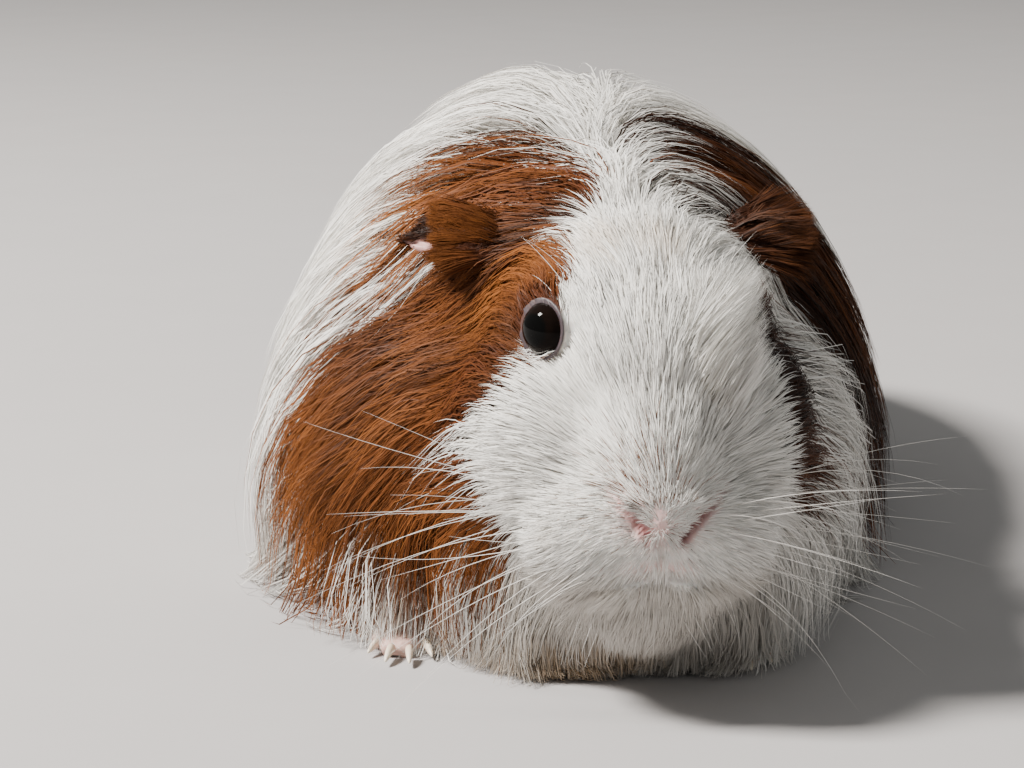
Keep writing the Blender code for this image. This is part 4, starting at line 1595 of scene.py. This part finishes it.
def whisker_tube(heap, root, aim, length, draws):
    """One thin tapering whisker that droops and ends in a point."""
    low, high = look_limits()
    rings, sides = 9, 5
    bend = Vector(draws.normal(0, 0.10, 3)) + Vector((0, 0.12, -0.16))
    side = aim.cross(Vector((0.1, 0.2, 1))).normalized()
    other = aim.cross(side).normalized()
    loops = []
    for index in range(rings):
        t = index / (rings - 1)
        centre = root + (aim * t + bend * t * t) * length * MM
        centre = Vector(np.clip(np.array(centre), low + 0.2 * MM, high - 0.2 * MM))
        radius = WHISKER_RADIUS * (1 - 0.93 * t) * MM
        turns = (2 * math.pi * step / sides for step in range(sides))
        ways = (side * math.cos(angle) + other * math.sin(angle) for angle in turns)
        loops.append(np.array([centre + way * radius for way in ways]))
    heap.loft(loops)


class PIG_OT_stage(bpy.types.Operator):
    """Lays the floor and sets the lights and the camera"""

    bl_idname = "pig.stage"
    bl_label = "Stage"

    def execute(self, context):
        sizes = settings()[2]
        bm = bmesh.new()
        bmesh.ops.create_circle(bm, cap_ends=True, segments=96, radius=sizes.floor_radius)
        floor = object_from("floor", bm)
        floor.data.materials.append(floor_material(sizes.floor[:]))
        world = bpy.data.worlds.new("room")
        world.use_nodes = True
        room = world.node_tree.nodes["Background"].inputs
        room[0].default_value, room[1].default_value = ROOM_COLOUR, sizes.sky
        context.scene.world = world
        for name, (place, power, size, tint) in LAMPS.items():
            data = bpy.data.lights.new(name, "AREA")
            data.energy, data.size, data.color = getattr(sizes, power), size, tint
            lamp = new_object(name, data)
            lamp.location = place
            lamp.rotation_euler = aimed(LIGHT_AIM - lamp.location)
        camera = new_object("camera", bpy.data.cameras.new("camera"))
        camera.data.lens = sizes.lens
        camera.data.sensor_width = SENSOR_WIDTH
        camera.data.clip_start = 0.01
        level = math.cos(CAMERA_RISE)
        back = Vector((math.sin(CAMERA_AZIMUTH) * level, -math.cos(CAMERA_AZIMUTH) * level, 0))
        back.z = math.sin(CAMERA_RISE)
        right = (-back).cross(Vector((0, 0, 1))).normalized()
        up = right.cross(-back)
        place = CAMERA_AIM - right * CAMERA_LEFT + up * CAMERA_UP
        camera.location = place + back * CAMERA_BACK
        camera.rotation_euler = aimed(-back)
        context.scene.camera = camera
        return {"FINISHED"}


def aimed(direction):
    """The turn of a lamp or camera that looks along a direction."""
    return direction.to_track_quat("-Z", "Y").to_euler()


class PIG_PT_panel(bpy.types.Panel):
    """The guinea pig's pieces, sizes and colours"""

    bl_idname = "PIG_PT_panel"
    bl_label = "Guinea pig"
    bl_space_type = "VIEW_3D"
    bl_region_type = "UI"
    bl_category = "Guinea pig"

    def draw(self, context):
        for operator in OPERATORS:
            self.layout.operator(operator.bl_idname)
        for group in settings():
            for name in group.__annotations__:
                self.layout.prop(group, name)


OPERATORS = (
    PIG_OT_skin,
    PIG_OT_eyes,
    PIG_OT_claws,
    PIG_OT_face_coat,
    PIG_OT_long_coat,
    PIG_OT_whiskers,
    PIG_OT_stage,
)
GROUPS = {"pig_colours": CoatColours, "pig_coat": CoatSizes, "pig_stage": StageSizes}
CLASSES = (*GROUPS.values(), *OPERATORS, PIG_PT_panel)


def register():
    for item in CLASSES:
        bpy.utils.register_class(item)
    for name, group in GROUPS.items():
        setattr(bpy.types.Scene, name, PointerProperty(type=group))


def unregister():
    for name in GROUPS:
        delattr(bpy.types.Scene, name)
    for item in reversed(CLASSES):
        bpy.utils.unregister_class(item)


def main():
    register()
    bpy.ops.pig.skin()
    bpy.ops.pig.eyes()
    bpy.ops.pig.claws()
    bpy.ops.pig.face_coat()
    bpy.ops.pig.long_coat()
    bpy.ops.pig.whiskers()
    bpy.ops.pig.stage()


if __name__ == "__main__":
    main()
